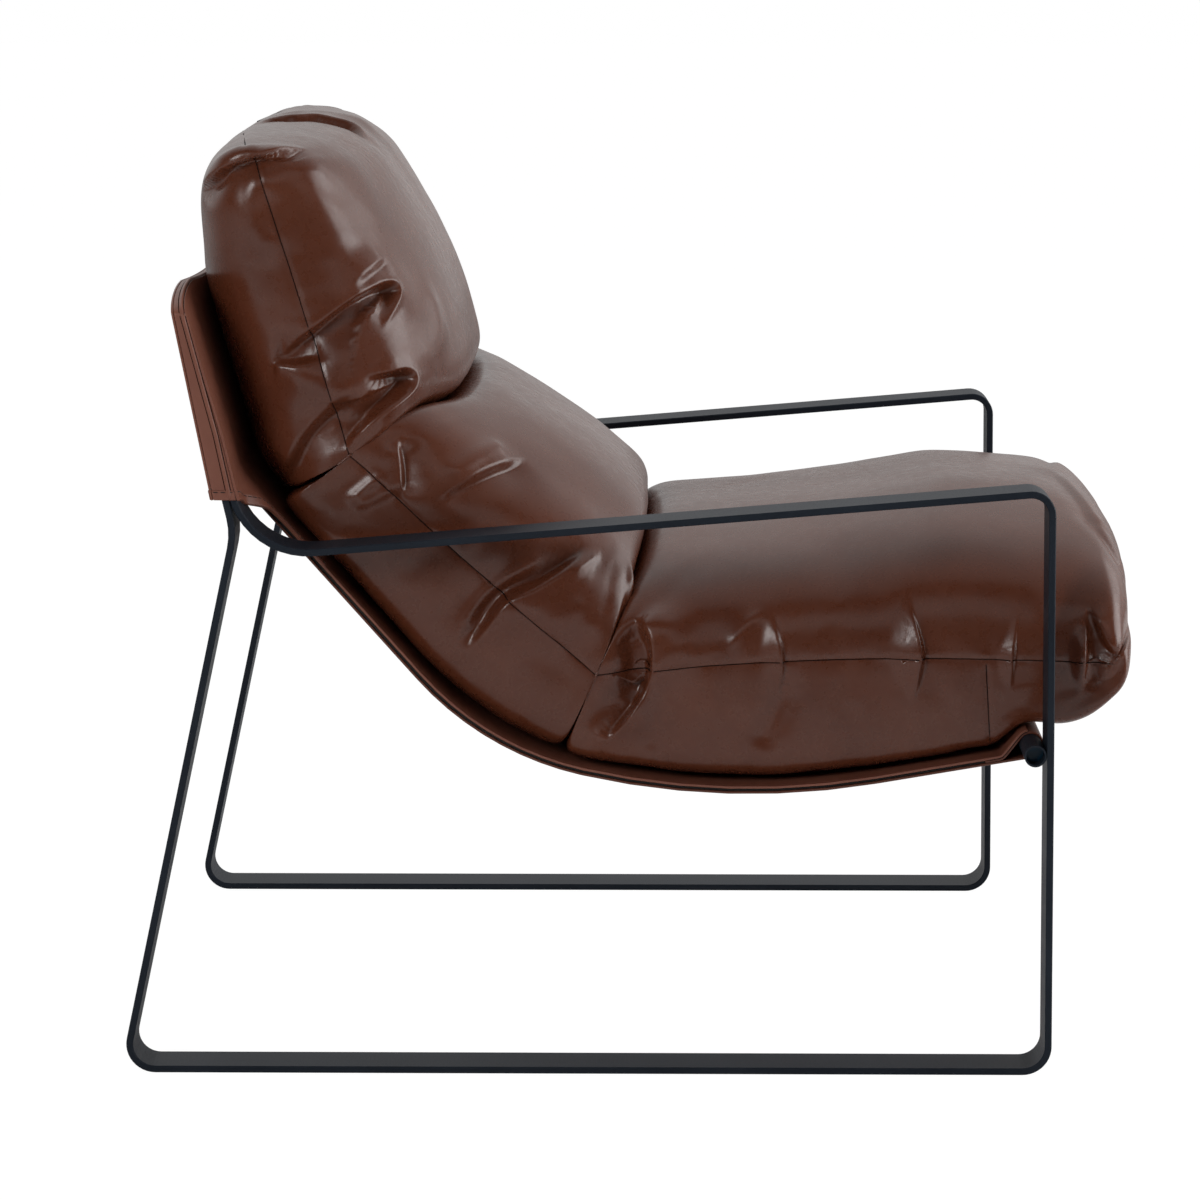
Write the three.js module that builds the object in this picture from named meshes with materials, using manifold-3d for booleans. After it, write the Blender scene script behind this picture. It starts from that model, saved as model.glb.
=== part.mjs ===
// Leather sling lounge chair: two bent flat-bar side frames joined by a rail in the back sleeve and
// a tube at the front of the seat, a leather sling hung between them, and a pad of three puffy
// leather cushions lying in the sling.
//
// Millimetres and degrees. +X is the way the sitter faces, +Y their left, +Z up. The side view is
// drawn in the XZ plane from the foot of the front leg's front face; the whole chair is then moved
// so that the middle of its footprint is the origin.

import * as THREE from 'three';
import { mergeVertices } from 'three/addons/utils/BufferGeometryUtils.js';
import Module from 'manifold-3d';

const wasm = await Module();
wasm.setup();

// Side frames: one flat bar each, bent the easy way
const FRAME_WIDTH = 690;          // over the outer edges of both frames
const BAR_WIDTH = 45;
const BAR_THICKNESS = 6;
const BAR_EDGE = 0.8;             // eased edge of the bar
const RUNNER_LENGTH = 806;        // along the floor, between the two leg lines
const REAR_LEG_LEAN = 12.28;      // forwards, going up
const FRONT_LEG_LEAN = 0.62;      // backwards, going up
const ARM_HEIGHT = 506.2;         // underside of the arm, where it reaches the front leg
const ARM_PITCH = 4.77;           // fall of the arm to the rear
const BACK_LEAN = 13;             // of the uprights inside the back sleeve
const KNEE_HEIGHT = 473;          // where the rear leg turns up into its upright
const ARM_UPRIGHT_RISE = 53;      // of the arm's own end into the sleeve
const FOOT_BEND = 22;             // bend radii, to the middle of the bar
const ARM_FRONT_BEND = 18;
const ARM_REAR_BEND = 65;
const KNEE_BEND = 60;

// Front stretcher tube and its fixings
const STRETCHER_HEIGHT = 281.6;
const TUBE_DIAMETER = 19;
const TUBE_WALL = 1.6;
const TUBE_INSET = 1.5;           // of the tube's ends from the frames' outer edges
const INSERT_LENGTH = 30;         // threaded slug inside each tube end
const INSERT_RECESS = 14;
const SCREW_DIAMETER = 6;
const SCREW_HEAD_DIAMETER = 11;
const SCREW_HEAD_LIP = 0.4;
const SCREW_HEAD_DEPTH = 2.6;     // of the head's cone
const SCREW_LENGTH = 18;

// Leather sling
const LEATHER = 2;
const CORE = 2;                   // woven carrier between the two leather panels
const SLING_SIDE_GAP = 3;         // from the sling's edge to the frame
const SLING_START_RISE = 16;      // above the sleeve's lower edge, where the sling leaves the uprights
const SLING_START_BEND = 45;
const SLANT_ANGLE = 48.6;         // behind the lower back
const SEAT_REAR_ANGLE = 12.88;    // falling, under the rear of the seat
const SEAT_FRONT_ANGLE = 9.73;    // rising, under the front of the seat
const SEAT_RUN = 267;             // from the tube back to the seat's lowest corner
const LUMBAR_BEND_SHARE = 0.4;    // of the rear of the seat, taken by the bend behind it
const HEM_RUN = 25;               // from the tube back to the hem's seam
const HEM_LAP = 16;               // of the hem's end between the sling's panels
const HEM_BEND = 8;
const HEM_OVER = 40;              // degrees of the tube's top that the inner panel runs over
const CARRIER_INSET = 2;          // of the carrier's edges from the leather's

// Sleeve at the top of the sling
const SLEEVE_HEIGHT = 176;
const SLEEVE_OVERLAP = 5;         // of its lower edge over the arm's bend
const SLEEVE_CLEARANCE = 2;       // of its lower edge above the rear leg's bend
const SLEEVE_CORNER = 20;         // fall of its upper corners
const SLEEVE_CORNER_RUN = 105;    // and their length along the top
const SLEEVE_HANG = 2;            // lean of its rear panel away from the uprights
const SLEEVE_SAG = 8;             // of the top edge at mid-width
const SLEEVE_EASE = 100;          // bend of its front where the shorter upright ends
const CUTOUT_LENGTH = 52;         // along the sling, from the sleeve down to its narrow width

// Cushions
const PAD_INSET = 5;              // of the pad's sides from the sling's edges
const COVER = 2;                  // leather of the covers
const FILL_GAP = 0.8;             // from the covers to their fills
const HEAD_CREASE_DROP = 13;      // below the sleeve, on the sling
const HEAD_CREASE_ANGLE = 27;
const HEAD_CREASE_LENGTH = 198;
const SEAT_CREASE_FROM_TUBE = 407;  // along X, from the tube to the crease behind the seat
const SEAT_CREASE_ANGLE = 67;
const SEAT_CREASE_LENGTH = 202;
const LUMBAR_LIP = 19;            // of the lumbar cushion past the seat's end of that crease
const CREASE_ROUND = 32;
const HEAD_RISE = 130;            // above the sleeve, before rounding
const HEAD_REAR_BULGE = 4;        // behind the face of the sling, above the sleeve
const HEAD_TOP_DEPTH = 156;       // front to back, at the top
const HEAD_TOP_FALL = 5;          // to the front
const HEAD_REAR_ROUND = 61;
const HEAD_FRONT_ROUND = 100;
const HEAD_CROWN = 7;
const LUMBAR_CROWN = 5;
const SEAT_OVERHANG = 88;         // of the seat's front upper corner past the front leg
const SEAT_UNDERCUT = 28;         // of its lower corner behind the upper one
const SEAT_RISE = 203;            // of its front upper corner above the tube, before rounding
const SEAT_DROP = 18;             // of its front lower corner below the tube, before rounding
const SEAT_FRONT_ROUND = 72;
const SEAT_UNDER_ROUND = 57;
const SEAT_REST = 66;             // from the tube back to where the seat lifts off the sling
const SEAT_CROWN = 9;
const SEAT_CROWN_SKEW = 3;        // towards the front
const SEAM_SHARE = 0.4;           // height of the side seam in the pad's thickness
const SEAM_INSET = 20;            // of the side seam's free ends from the outline
const SEAM_THICKNESS = 0.2;       // share of the pad's thickness left at the side seam
const UPPER_FULLNESS = 2.5;       // power of the crown across the width, above the seam
const BACK_FULLNESS = 3;          // below it, behind the sitter's back
const SEAT_FULLNESS = 4;          // below it, under the seat
const ZIP_LENGTH = 300;
const ZIP_WIDTH = 9;
const ZIP_CUT = 12;               // depth of the slot's cutter through the cover

const GAP = 0.3;                  // between pieces that touch

// Facets: degrees for each facet of a round, and the places of the sheets' and pillows' grid lines
const ARC_STEP = 9;
const TUBE_STEP = 15;
const PAD_STEP = 22;
const HEM_TOP_STEP = 18;
const HEM_TOP_START = 126;        // of the seat's hollow over the hem, from its rear to its front
const HEM_TOP_END = 54;
const EDGE_SHARES = [0, 0.25, 0.5, 0.75, 0.93, 1];
const PILLOW_SHARES = [0.35, 0.62, 0.8, 0.91, 0.97, 1];
const CROWN_SHARES = [0.25, 0.5, 0.75];
const CUTOUT_SHARES = [0, 0.02, 0.1, 0.25, 0.5, 0.75, 1];
const CORNER_SHARES = [0, 0.4, 1];
const TOP_EASE = 70;              // depth in which the sleeve's grid follows its top edge
const SEAM_BLEND = 40;            // height about the seam in which the fullness changes
const CREASE_SETBACK = 6;         // from a crease to the next point on the sling

const LEATHER_BROWN = 0x4a2c22;
const FRAME_BLACK = 0x2b2c30;
const PLASTIC_BLACK = 0x17181a;
const CARRIER_GREY = 0x3a3634;
const FILL_WHITE = 0xd9d5cc;
const ZIP_BROWN = 0x2f1f19;

const rad = THREE.MathUtils.degToRad;
const at = (x, z) => new THREE.Vector2(x, z);

/** A straight line of the side view: a point and a direction in degrees from +X. */
class Line {
  constructor(point, angle) {
    this.point = point;
    this.angle = angle;
    this.along = at(Math.cos(rad(angle)), Math.sin(rad(angle)));
    this.left = at(-this.along.y, this.along.x);
  }

  /** The parallel line a distance to the left. */
  offset(distance) {
    return new Line(this.point.clone().addScaledVector(this.left, distance), this.angle);
  }

  reversed() {
    return new Line(this.point, this.angle + 180);
  }

  /** The point a distance along the line. */
  step(distance) {
    return this.point.clone().addScaledVector(this.along, distance);
  }

  /** The same line, started a distance along it. */
  from(distance) {
    return new Line(this.step(distance), this.angle);
  }

  meet(other) {
    const between = other.point.clone().sub(this.point);
    return this.step(between.cross(other.along) / this.along.cross(other.along));
  }

  atHeight(z) {
    return this.step((z - this.point.y) / this.along.y);
  }
}

const lineThrough = (from, to) =>
  new Line(from, THREE.MathUtils.radToDeg(Math.atan2(to.y - from.y, to.x - from.x)));

/** Points on an arc, both ends included. */
function arc(centre, radius, from, sweep, step = ARC_STEP) {
  const count = Math.max(1, Math.ceil(Math.abs(sweep) / step));
  return Array.from({ length: count + 1 }, (_, i) => {
    const angle = rad(from + (sweep * i) / count);
    return at(centre.x + radius * Math.cos(angle), centre.y + radius * Math.sin(angle));
  });
}

/** The arc that rounds the corner from `before` over `corner` to `after`. */
function roundedCorner(before, corner, after, radius, step = ARC_STEP) {
  const inward = corner.clone().sub(before).normalize();
  const outward = after.clone().sub(corner).normalize();
  const turn = THREE.MathUtils.radToDeg(Math.atan2(inward.cross(outward), inward.dot(outward)));
  const side = Math.sign(turn);
  const setback = radius * Math.tan(rad(Math.abs(turn)) / 2);
  const start = corner.clone().addScaledVector(inward, -setback);
  const centre = start.clone().add(at(-inward.y, inward.x).multiplyScalar(side * radius));
  const from = THREE.MathUtils.radToDeg(Math.atan2(start.y - centre.y, start.x - centre.x));
  return arc(centre, radius, from, turn, step);
}

/** An open path through corners, with a bend radius at each corner between its ends. */
function bentPath(corners, radii, step = ARC_STEP) {
  const inner = radii.flatMap((radius, i) =>
    roundedCorner(corners[i], corners[i + 1], corners[i + 2], radius, step));
  return [corners[0], ...inner, corners[corners.length - 1]];
}

/** A path's points with their left-hand normals and their distances from its start. */
class Route {
  constructor(points) {
    this.points = points.filter((p, i) => i === 0 || p.distanceTo(points[i - 1]) > 1e-6);
    const edges = this.points.slice(1).map((p, i) => p.clone().sub(this.points[i]).normalize());
    this.normals = this.points.map((_, i) => {
      const before = edges[Math.max(0, i - 1)];
      const after = edges[Math.min(edges.length - 1, i)];
      const mean = at(-before.y - after.y, before.x + after.x).normalize();
      return mean.divideScalar(mean.dot(at(-after.y, after.x)));
    });
    this.distances = [0];
    this.points.slice(1).forEach((p, i) =>
      this.distances.push(this.distances[i] + p.distanceTo(this.points[i])));
    this.length = this.distances[this.distances.length - 1];
  }

  /** The point and normal a distance along the route. */
  at(distance) {
    const last = this.points.length - 2;
    const found = this.distances.findIndex((d) => d > distance) - 1;
    const i = found < 0 ? last : found;
    const share = (distance - this.distances[i]) / (this.distances[i + 1] - this.distances[i]);
    return {
      point: this.points[i].clone().lerp(this.points[i + 1], share),
      normal: this.normals[i].clone().lerp(this.normals[i + 1], share),
    };
  }

  offset(distance) {
    return new Route(this.points.map((p, i) => p.clone().addScaledVector(this.normals[i], distance)));
  }

  /** The distance along the route at which a measure of its points first passes a value. */
  find(measure, value) {
    const i = this.points.findIndex((p, k) =>
      k > 0 && (measure(this.points[k - 1]) - value) * (measure(p) - value) <= 0);
    const before = measure(this.points[i - 1]);
    const share = (value - before) / (measure(this.points[i]) - before);
    return THREE.MathUtils.lerp(this.distances[i - 1], this.distances[i], share);
  }

  /** The points between two distances, ends included. */
  between(start, end) {
    const within = (distance) => distance > start + 1 && distance < end - 1;
    const inner = this.points.filter((_, i) => within(this.distances[i]));
    return [this.at(start).point, ...inner, this.at(end).point];
  }
}

/** A closed geometry from points and faces, turned so that its faces point out. */
function closedGeometry(points, faces) {
  const volume = faces.reduce((sum, [a, b, c]) =>
    sum + points[a].clone().cross(points[b]).dot(points[c]), 0);
  const index = faces.flatMap(([a, b, c]) => (volume < 0 ? [a, c, b] : [a, b, c]));
  const places = points.flatMap((p) => p.toArray());
  const geometry = new THREE.BufferGeometry();
  geometry.setAttribute('position', new THREE.Float32BufferAttribute(places, 3));
  geometry.setIndex(index);
  geometry.computeVertexNormals();
  return geometry;
}

/** Joins every grid row to the next one, each row a ring of the same number of points. */
function ringFaces(rows, ring) {
  const faces = [];
  for (let row = 0; row + 1 < rows; row += 1) {
    for (let i = 0; i < ring; i += 1) {
      const next = (i + 1) % ring;
      const [a, b] = [row * ring + i, row * ring + next];
      faces.push([a, b, b + ring], [a, b + ring, a + ring]);
    }
  }
  return faces;
}

/** Extrudes an outline of the side view along Y, centred on y = 0. */
function extrudeAcross(shape, width, edge = 0) {
  const geometry = new THREE.ExtrudeGeometry(shape, {
    depth: width - 2 * edge,
    bevelEnabled: edge > 0,
    bevelThickness: edge,
    bevelSize: edge,
    bevelOffset: -edge,
    bevelSegments: 1,
    steps: 1,
    curveSegments: 12,
  });
  return geometry.translate(0, 0, edge - width / 2).rotateX(Math.PI / 2);
}

/** The geometry with its shared points merged, its collapsed faces dropped and its faces turned out. */
function cleaned(geometry) {
  const bare = geometry.clone();
  bare.deleteAttribute('normal');
  bare.deleteAttribute('uv');
  const merged = mergeVertices(bare, 1e-4);
  const { position } = merged.attributes;
  const points = Array.from({ length: position.count }, (_, i) =>
    new THREE.Vector3().fromBufferAttribute(position, i));
  const index = Array.from(merged.index.array);
  const faces = Array.from({ length: index.length / 3 }, (_, i) => index.slice(3 * i, 3 * i + 3));
  return closedGeometry(points, faces.filter((face) => new Set(face).size === 3));
}

function solidOf(geometry) {
  const closed = cleaned(geometry);
  return new wasm.Manifold(new wasm.Mesh({
    numProp: 3,
    vertProperties: new Float32Array(closed.attributes.position.array),
    triVerts: new Uint32Array(closed.index.array),
  }));
}

function geometryOf(solid) {
  const mesh = solid.getMesh();
  const geometry = new THREE.BufferGeometry();
  geometry.setAttribute('position', new THREE.BufferAttribute(new Float32Array(mesh.vertProperties), 3));
  geometry.setIndex(new THREE.BufferAttribute(new Uint32Array(mesh.triVerts), 1));
  geometry.computeVertexNormals();
  return geometry;
}

const cut = (geometry, ...tools) =>
  geometryOf(tools.reduce((solid, tool) => solid.subtract(solidOf(tool)), solidOf(geometry)));

const common = (geometry, tool) => geometryOf(solidOf(geometry).intersect(solidOf(tool)));

const leather = new THREE.MeshStandardMaterial({ color: LEATHER_BROWN, roughness: 0.38, metalness: 0 });
const powderCoat = new THREE.MeshStandardMaterial({ color: FRAME_BLACK, roughness: 0.55, metalness: 0.2 });
const plastic = new THREE.MeshStandardMaterial({ color: PLASTIC_BLACK, roughness: 0.3, metalness: 0 });
const carrier = new THREE.MeshStandardMaterial({ color: CARRIER_GREY, roughness: 0.9, metalness: 0 });
const wadding = new THREE.MeshStandardMaterial({ color: FILL_WHITE, roughness: 0.95, metalness: 0 });
const zipTape = new THREE.MeshStandardMaterial({ color: ZIP_BROWN, roughness: 0.7, metalness: 0 });

const chair = new THREE.Group();

function addMesh(name, geometry, material, y = 0) {
  const mesh = new THREE.Mesh(geometry, material);
  mesh.name = name;
  mesh.position.y = y;
  chair.add(mesh);
  return mesh;
}

// Side view of a frame: the faces of the bar that the sizes are given to, and its middle line
const HALF_BAR = BAR_THICKNESS / 2;
const rearLegFace = new Line(at(-RUNNER_LENGTH, 0), 90 - REAR_LEG_LEAN);
const frontLegFace = new Line(at(0, 0), 90 + FRONT_LEG_LEAN);
const armFace = new Line(at(0, ARM_HEIGHT), ARM_PITCH);
const uprightFace = new Line(rearLegFace.atHeight(KNEE_HEIGHT), 90 + BACK_LEAN);

const runner = new Line(at(0, HALF_BAR), 0);
const rearLeg = rearLegFace.offset(-HALF_BAR);
const frontLeg = frontLegFace.offset(HALF_BAR);
const arm = armFace.offset(HALF_BAR);
const legUpright = uprightFace.offset(-HALF_BAR);
const armUpright = legUpright.offset(-BAR_THICKNESS - GAP);

/** The height at which a bend of the bar ends on its upright. */
function bendEnd(upright, from, radius) {
  const half = (upright.angle - from.angle) / 2;
  return upright.meet(from).y + radius * Math.abs(Math.tan(rad(half))) * upright.along.y;
}

const SLEEVE_BOTTOM = Math.max(
  bendEnd(armUpright, arm.reversed(), ARM_REAR_BEND) - SLEEVE_OVERLAP,
  bendEnd(legUpright, rearLeg, KNEE_BEND) + SLEEVE_CLEARANCE,
);
const SLEEVE_TOP = SLEEVE_BOTTOM + SLEEVE_HEIGHT;
const ARM_UPRIGHT_END = SLEEVE_BOTTOM + ARM_UPRIGHT_RISE;
const UPRIGHT_TOP = SLEEVE_TOP - SLEEVE_CORNER - 2 * LEATHER;
const BAR_Y = (FRAME_WIDTH - BAR_WIDTH) / 2;

const barPath = new Route(bentPath(
  [
    legUpright.atHeight(UPRIGHT_TOP),
    legUpright.meet(rearLeg),
    rearLeg.meet(runner),
    runner.meet(frontLeg),
    frontLeg.meet(arm),
    arm.meet(armUpright),
    armUpright.atHeight(ARM_UPRIGHT_END),
  ],
  [KNEE_BEND, FOOT_BEND, FOOT_BEND, ARM_FRONT_BEND, ARM_REAR_BEND],
));
const barOutline = new THREE.Shape([
  ...barPath.offset(HALF_BAR).points,
  ...barPath.offset(-HALF_BAR).points.reverse(),
]);

// The tube lies against the rear face of the front legs; the screws run square to that face
const screwAxis = new Line(frontLegFace.atHeight(STRETCHER_HEIGHT), 180 + FRONT_LEG_LEAN);
const tubeCentre = screwAxis.step(BAR_THICKNESS + GAP + TUBE_DIAMETER / 2);

/** A turned piece on the screw's axis: pairs of radius and depth from the leg's front face. */
function turnedOnScrewAxis(profile, y) {
  const outline = profile.map(([radius, depth]) => at(radius, depth));
  const axis = new THREE.Vector3(screwAxis.along.x, 0, screwAxis.along.y);
  const turn = new THREE.Quaternion().setFromUnitVectors(new THREE.Vector3(0, 1, 0), axis);
  const turned = new THREE.LatheGeometry(outline, 16).applyQuaternion(turn);
  return cleaned(turned.translate(screwAxis.point.x, y, screwAxis.point.y));
}

function screwProfile(clearance, length) {
  const head = SCREW_HEAD_DIAMETER / 2 + clearance;
  const shank = SCREW_DIAMETER / 2 + clearance;
  const coneEnd = SCREW_HEAD_LIP + SCREW_HEAD_DEPTH;
  return [
    [0, -clearance],
    [head, -clearance],
    [head, SCREW_HEAD_LIP],
    [shank, coneEnd],
    [shank, length],
    [0, length],
  ];
}

function boreProfile(start, end) {
  const radius = SCREW_DIAMETER / 2 + GAP;
  return [[0, start], [radius, start], [radius, end], [0, end]];
}

// Steel frame
const screwHole = turnedOnScrewAxis(screwProfile(GAP, BAR_THICKNESS + 1), 0);
const sideFrame = cut(extrudeAcross(barOutline, BAR_WIDTH, BAR_EDGE), screwHole);
addMesh('side_frame_left', sideFrame, powderCoat, BAR_Y);
addMesh('side_frame_right', sideFrame, powderCoat, -BAR_Y);

const railTop = legUpright.atHeight(UPRIGHT_TOP);
const railPath = new Route([railTop, railTop.clone().addScaledVector(legUpright.along, -BAR_WIDTH)]);
const railOutline = new THREE.Shape([
  ...railPath.offset(HALF_BAR).points,
  ...railPath.offset(-HALF_BAR).points.reverse(),
]);
const RAIL_LENGTH = FRAME_WIDTH - 2 * (BAR_WIDTH + GAP);
addMesh('back_top_rail', cleaned(extrudeAcross(railOutline, RAIL_LENGTH)), powderCoat);

const TUBE_RADIUS = TUBE_DIAMETER / 2;
const INSERT_RADIUS = TUBE_RADIUS - TUBE_WALL - GAP;
const INSERT_Y = FRAME_WIDTH / 2 - TUBE_INSET - INSERT_RECESS - INSERT_LENGTH / 2;
const roundOfTube = (radius) => arc(tubeCentre, radius, 0, 360 - TUBE_STEP, TUBE_STEP);
const tubeRing = new THREE.Shape(roundOfTube(TUBE_RADIUS));
tubeRing.holes.push(new THREE.Path(roundOfTube(TUBE_RADIUS - TUBE_WALL)));
const throughWall = boreProfile(BAR_THICKNESS, BAR_THICKNESS + GAP + TUBE_RADIUS);
addMesh('front_stretcher', cut(
  extrudeAcross(tubeRing, FRAME_WIDTH - 2 * TUBE_INSET),
  turnedOnScrewAxis(throughWall, BAR_Y),
  turnedOnScrewAxis(throughWall, -BAR_Y),
), powderCoat);

const insertRound = new THREE.Shape(roundOfTube(INSERT_RADIUS));
for (const [side, sign] of [['left', 1], ['right', -1]]) {
  const bore = turnedOnScrewAxis(boreProfile(BAR_THICKNESS, SCREW_LENGTH + GAP), sign * (BAR_Y - INSERT_Y));
  const slug = cut(extrudeAcross(insertRound, INSERT_LENGTH), bore);
  const screw = turnedOnScrewAxis(screwProfile(0, SCREW_LENGTH), 0);
  addMesh(`stretcher_insert_${side}`, slug, plastic, sign * INSERT_Y);
  addMesh(`stretcher_screw_${side}`, screw, powderCoat, sign * BAR_Y);
}

// Side view of the sling, given to its underside; its layers lie above one another
const OUTER_AT = LEATHER / 2;
const CORE_AT = LEATHER + GAP + CORE / 2;
const INNER_AT = LEATHER + GAP + CORE + GAP + LEATHER / 2;
const HEM_RADIUS = TUBE_RADIUS + GAP + LEATHER;
const onBars = HALF_BAR + GAP + LEATHER / 2;

const innerUpright = armUpright.reversed().offset(onBars);
const sleeveFront = legUpright.reversed().offset(onBars);
const rearTop = legUpright.reversed().offset(-onBars).atHeight(SLEEVE_TOP);
const sleeveRear = new Line(rearTop, legUpright.angle + 180 - SLEEVE_HANG);
const slantStart = innerUpright.atHeight(SLEEVE_BOTTOM + SLING_START_RISE);
const slant = new Line(slantStart, -SLANT_ANGLE).offset(-INNER_AT);
const seatFront = new Line(tubeCentre, SEAT_FRONT_ANGLE).offset(-HEM_RADIUS);
const seatRear = new Line(seatFront.step(-SEAT_RUN), -SEAT_REAR_ANGLE);

// The bend behind the seat and the one under it share the rear of the seat between them
const seatLength = slant.meet(seatRear).distanceTo(seatRear.point);
const bendRadius = (setback, turn) => setback / Math.tan(rad(turn) / 2);
const lumbarBend = bendRadius(LUMBAR_BEND_SHARE * seatLength, SLANT_ANGLE - SEAT_REAR_ANGLE);
const seatBend = bendRadius((1 - LUMBAR_BEND_SHARE) * seatLength, SEAT_REAR_ANGLE + SEAT_FRONT_ANGLE);

/** The sling's corners and bends below the sleeve, for the layer a distance above its underside. */
function slingLayer(above) {
  const [back, rear, front] = [slant, seatRear, seatFront].map((line) => line.offset(above));
  return {
    back,
    front,
    corners: [back.meet(rear), rear.meet(front)],
    bends: [lumbarBend - above, seatBend - above],
  };
}

const SLEEVE_HALF = FRAME_WIDTH / 2 + GAP + LEATHER;
const SLEEVE_STRAIGHT = SLEEVE_HALF - SLEEVE_CORNER_RUN;
const SLING_HALF = FRAME_WIDTH / 2 - BAR_WIDTH - SLING_SIDE_GAP;
const PAD_HALF = SLING_HALF - PAD_INSET;

/** How far the sleeve's top edge lies below its highest point, at a distance from mid-width. */
function topDrop(y) {
  const past = Math.max(0, Math.abs(y) - SLEEVE_STRAIGHT) / SLEEVE_CORNER_RUN;
  const sag = SLEEVE_SAG * Math.max(0, 1 - (y / SLEEVE_STRAIGHT) ** 2);
  return sag + SLEEVE_CORNER * (1 - Math.sqrt(Math.max(0, 1 - past ** 2)));
}

/** A closed sheet of even thickness from a grid of points with normals. */
function sheet(grid, thickness) {
  const columns = grid[0].length;
  const ring = 2 * columns;
  const points = grid.flatMap((row) => {
    const side = (cell, sign) => cell.point.clone().addScaledVector(cell.normal, (sign * thickness) / 2);
    return [...row.map((cell) => side(cell, 1)), ...row.map((cell) => side(cell, -1)).reverse()];
  });
  const faces = ringFaces(grid.length, ring);
  const end = (grid.length - 1) * ring;
  for (let c = 0; c + 1 < columns; c += 1) {
    const [a, b, far, near] = [c, c + 1, ring - 2 - c, ring - 1 - c];
    faces.push([b, a, near], [b, near, far]);
    faces.push([end + a, end + b, end + far], [end + a, end + far, end + near]);
  }
  return closedGeometry(points, faces);
}

const inSpace = (v, y) => new THREE.Vector3(v.x, y, v.y);

/** A sheet of one width along a route of the side view. */
function ribbon(route, halfWidth, thickness) {
  const grid = route.points.map((p, i) => [-halfWidth, halfWidth].map((y) => ({
    point: inSpace(p, y),
    normal: inSpace(route.normals[i], 0),
  })));
  return sheet(grid, thickness);
}

// Hem: the outer panel wraps the tube, and its end comes back between the panels, in place of the
// carrier; the inner panel rises with it over the tube
const wrapRadius = TUBE_RADIUS + GAP + LEATHER / 2;
const lap = seatFront.offset(CORE_AT);
const lapCorner = lap.step(-HEM_RUN);
const lapEnd = lap.step(-HEM_RUN - HEM_LAP);
const toLap = lapCorner.clone().sub(tubeCentre);
const leaveAngle = THREE.MathUtils.radToDeg(toLap.angle() - Math.acos(wrapRadius / toLap.length()));
const meetAngle = SEAT_FRONT_ANGLE - 90;
const wrap = arc(tubeCentre, wrapRadius, meetAngle, leaveAngle - meetAngle, TUBE_STEP);
const leavePoint = wrap[wrap.length - 1];
const innerRise = lineThrough(lapCorner, leavePoint).offset(LEATHER + GAP);
const innerOver = arc(tubeCentre, wrapRadius + LEATHER + GAP, leaveAngle, -HEM_OVER, TUBE_STEP);

// Inner panel: front of the sleeve, the sling under the pad, then over the tube
const inner = slingLayer(INNER_AT);
const sleeveCorners = [
  sleeveFront.atHeight(SLEEVE_TOP),
  innerUpright.atHeight(ARM_UPRIGHT_END + LEATHER),
];
const innerStart = innerUpright.meet(inner.back);
const innerRoute = new Route([
  ...bentPath(
    [...sleeveCorners, innerStart, ...inner.corners, inner.front.meet(innerRise), innerOver[0]],
    [SLEEVE_EASE, SLING_START_BEND, ...inner.bends, HEM_BEND - LEATHER - GAP],
  ),
  ...innerOver,
]);
// At its sides the panel stays on the arm's bar, down to the sleeve's lower edge
const armTop = arm.offset(onBars);
const sideRoute = new Route(bentPath(
  [...sleeveCorners, innerUpright.meet(armTop), frontLeg.meet(armTop)],
  [SLEEVE_EASE, ARM_REAR_BEND - onBars],
));
const sleeveEnd = sideRoute.find((p) => p.y, SLEEVE_BOTTOM);

function innerHalfWidth(distance) {
  const share = THREE.MathUtils.clamp((sleeveEnd + CUTOUT_LENGTH - distance) / CUTOUT_LENGTH, 0, 1);
  return SLING_HALF + (SLEEVE_HALF - SLING_HALF) * (1 - Math.sqrt(1 - share ** 2));
}

/** Grid lines across the width: a few on the sling's own width, the rest on what lies past it. */
function acrossWidth(halfWidth) {
  const within = SLING_HALF - 2 * SLING_SIDE_GAP;
  const edge = EDGE_SHARES.map((share) => THREE.MathUtils.lerp(within, halfWidth, share));
  const half = [SLEEVE_STRAIGHT / 2, SLEEVE_STRAIGHT, ...edge];
  return [...half.map((y) => -y).reverse(), ...half];
}

function innerPanelCell(distance, y) {
  const shifted = distance + topDrop(y) * Math.max(0, 1 - distance / TOP_EASE);
  const middle = innerRoute.at(shifted);
  const side = sideRoute.at(Math.min(shifted, sideRoute.length));
  const onBar = THREE.MathUtils.smoothstep(Math.abs(y), SLING_HALF + 2 * SLING_SIDE_GAP, BAR_Y);
  return {
    point: inSpace(middle.point.lerp(side.point, onBar), y),
    normal: inSpace(middle.normal.lerp(side.normal, onBar), 0),
  };
}

const cutoutRows = CUTOUT_SHARES.map((share) => sleeveEnd + share * CUTOUT_LENGTH);
const cornerRows = CORNER_SHARES.map((share) => share * SLEEVE_CORNER);
const extraRows = [...cornerRows, TOP_EASE, ...cutoutRows].filter((row) =>
  innerRoute.distances.every((d) => Math.abs(row - d) > GAP));
const innerRows = [...innerRoute.distances, ...extraRows].sort((before, after) => before - after);
const innerPanelRow = (distance) =>
  acrossWidth(innerHalfWidth(distance)).map((y) => innerPanelCell(distance, y));
addMesh('sling_inner_panel', sheet(innerRows.map(innerPanelRow), LEATHER), leather);

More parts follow.
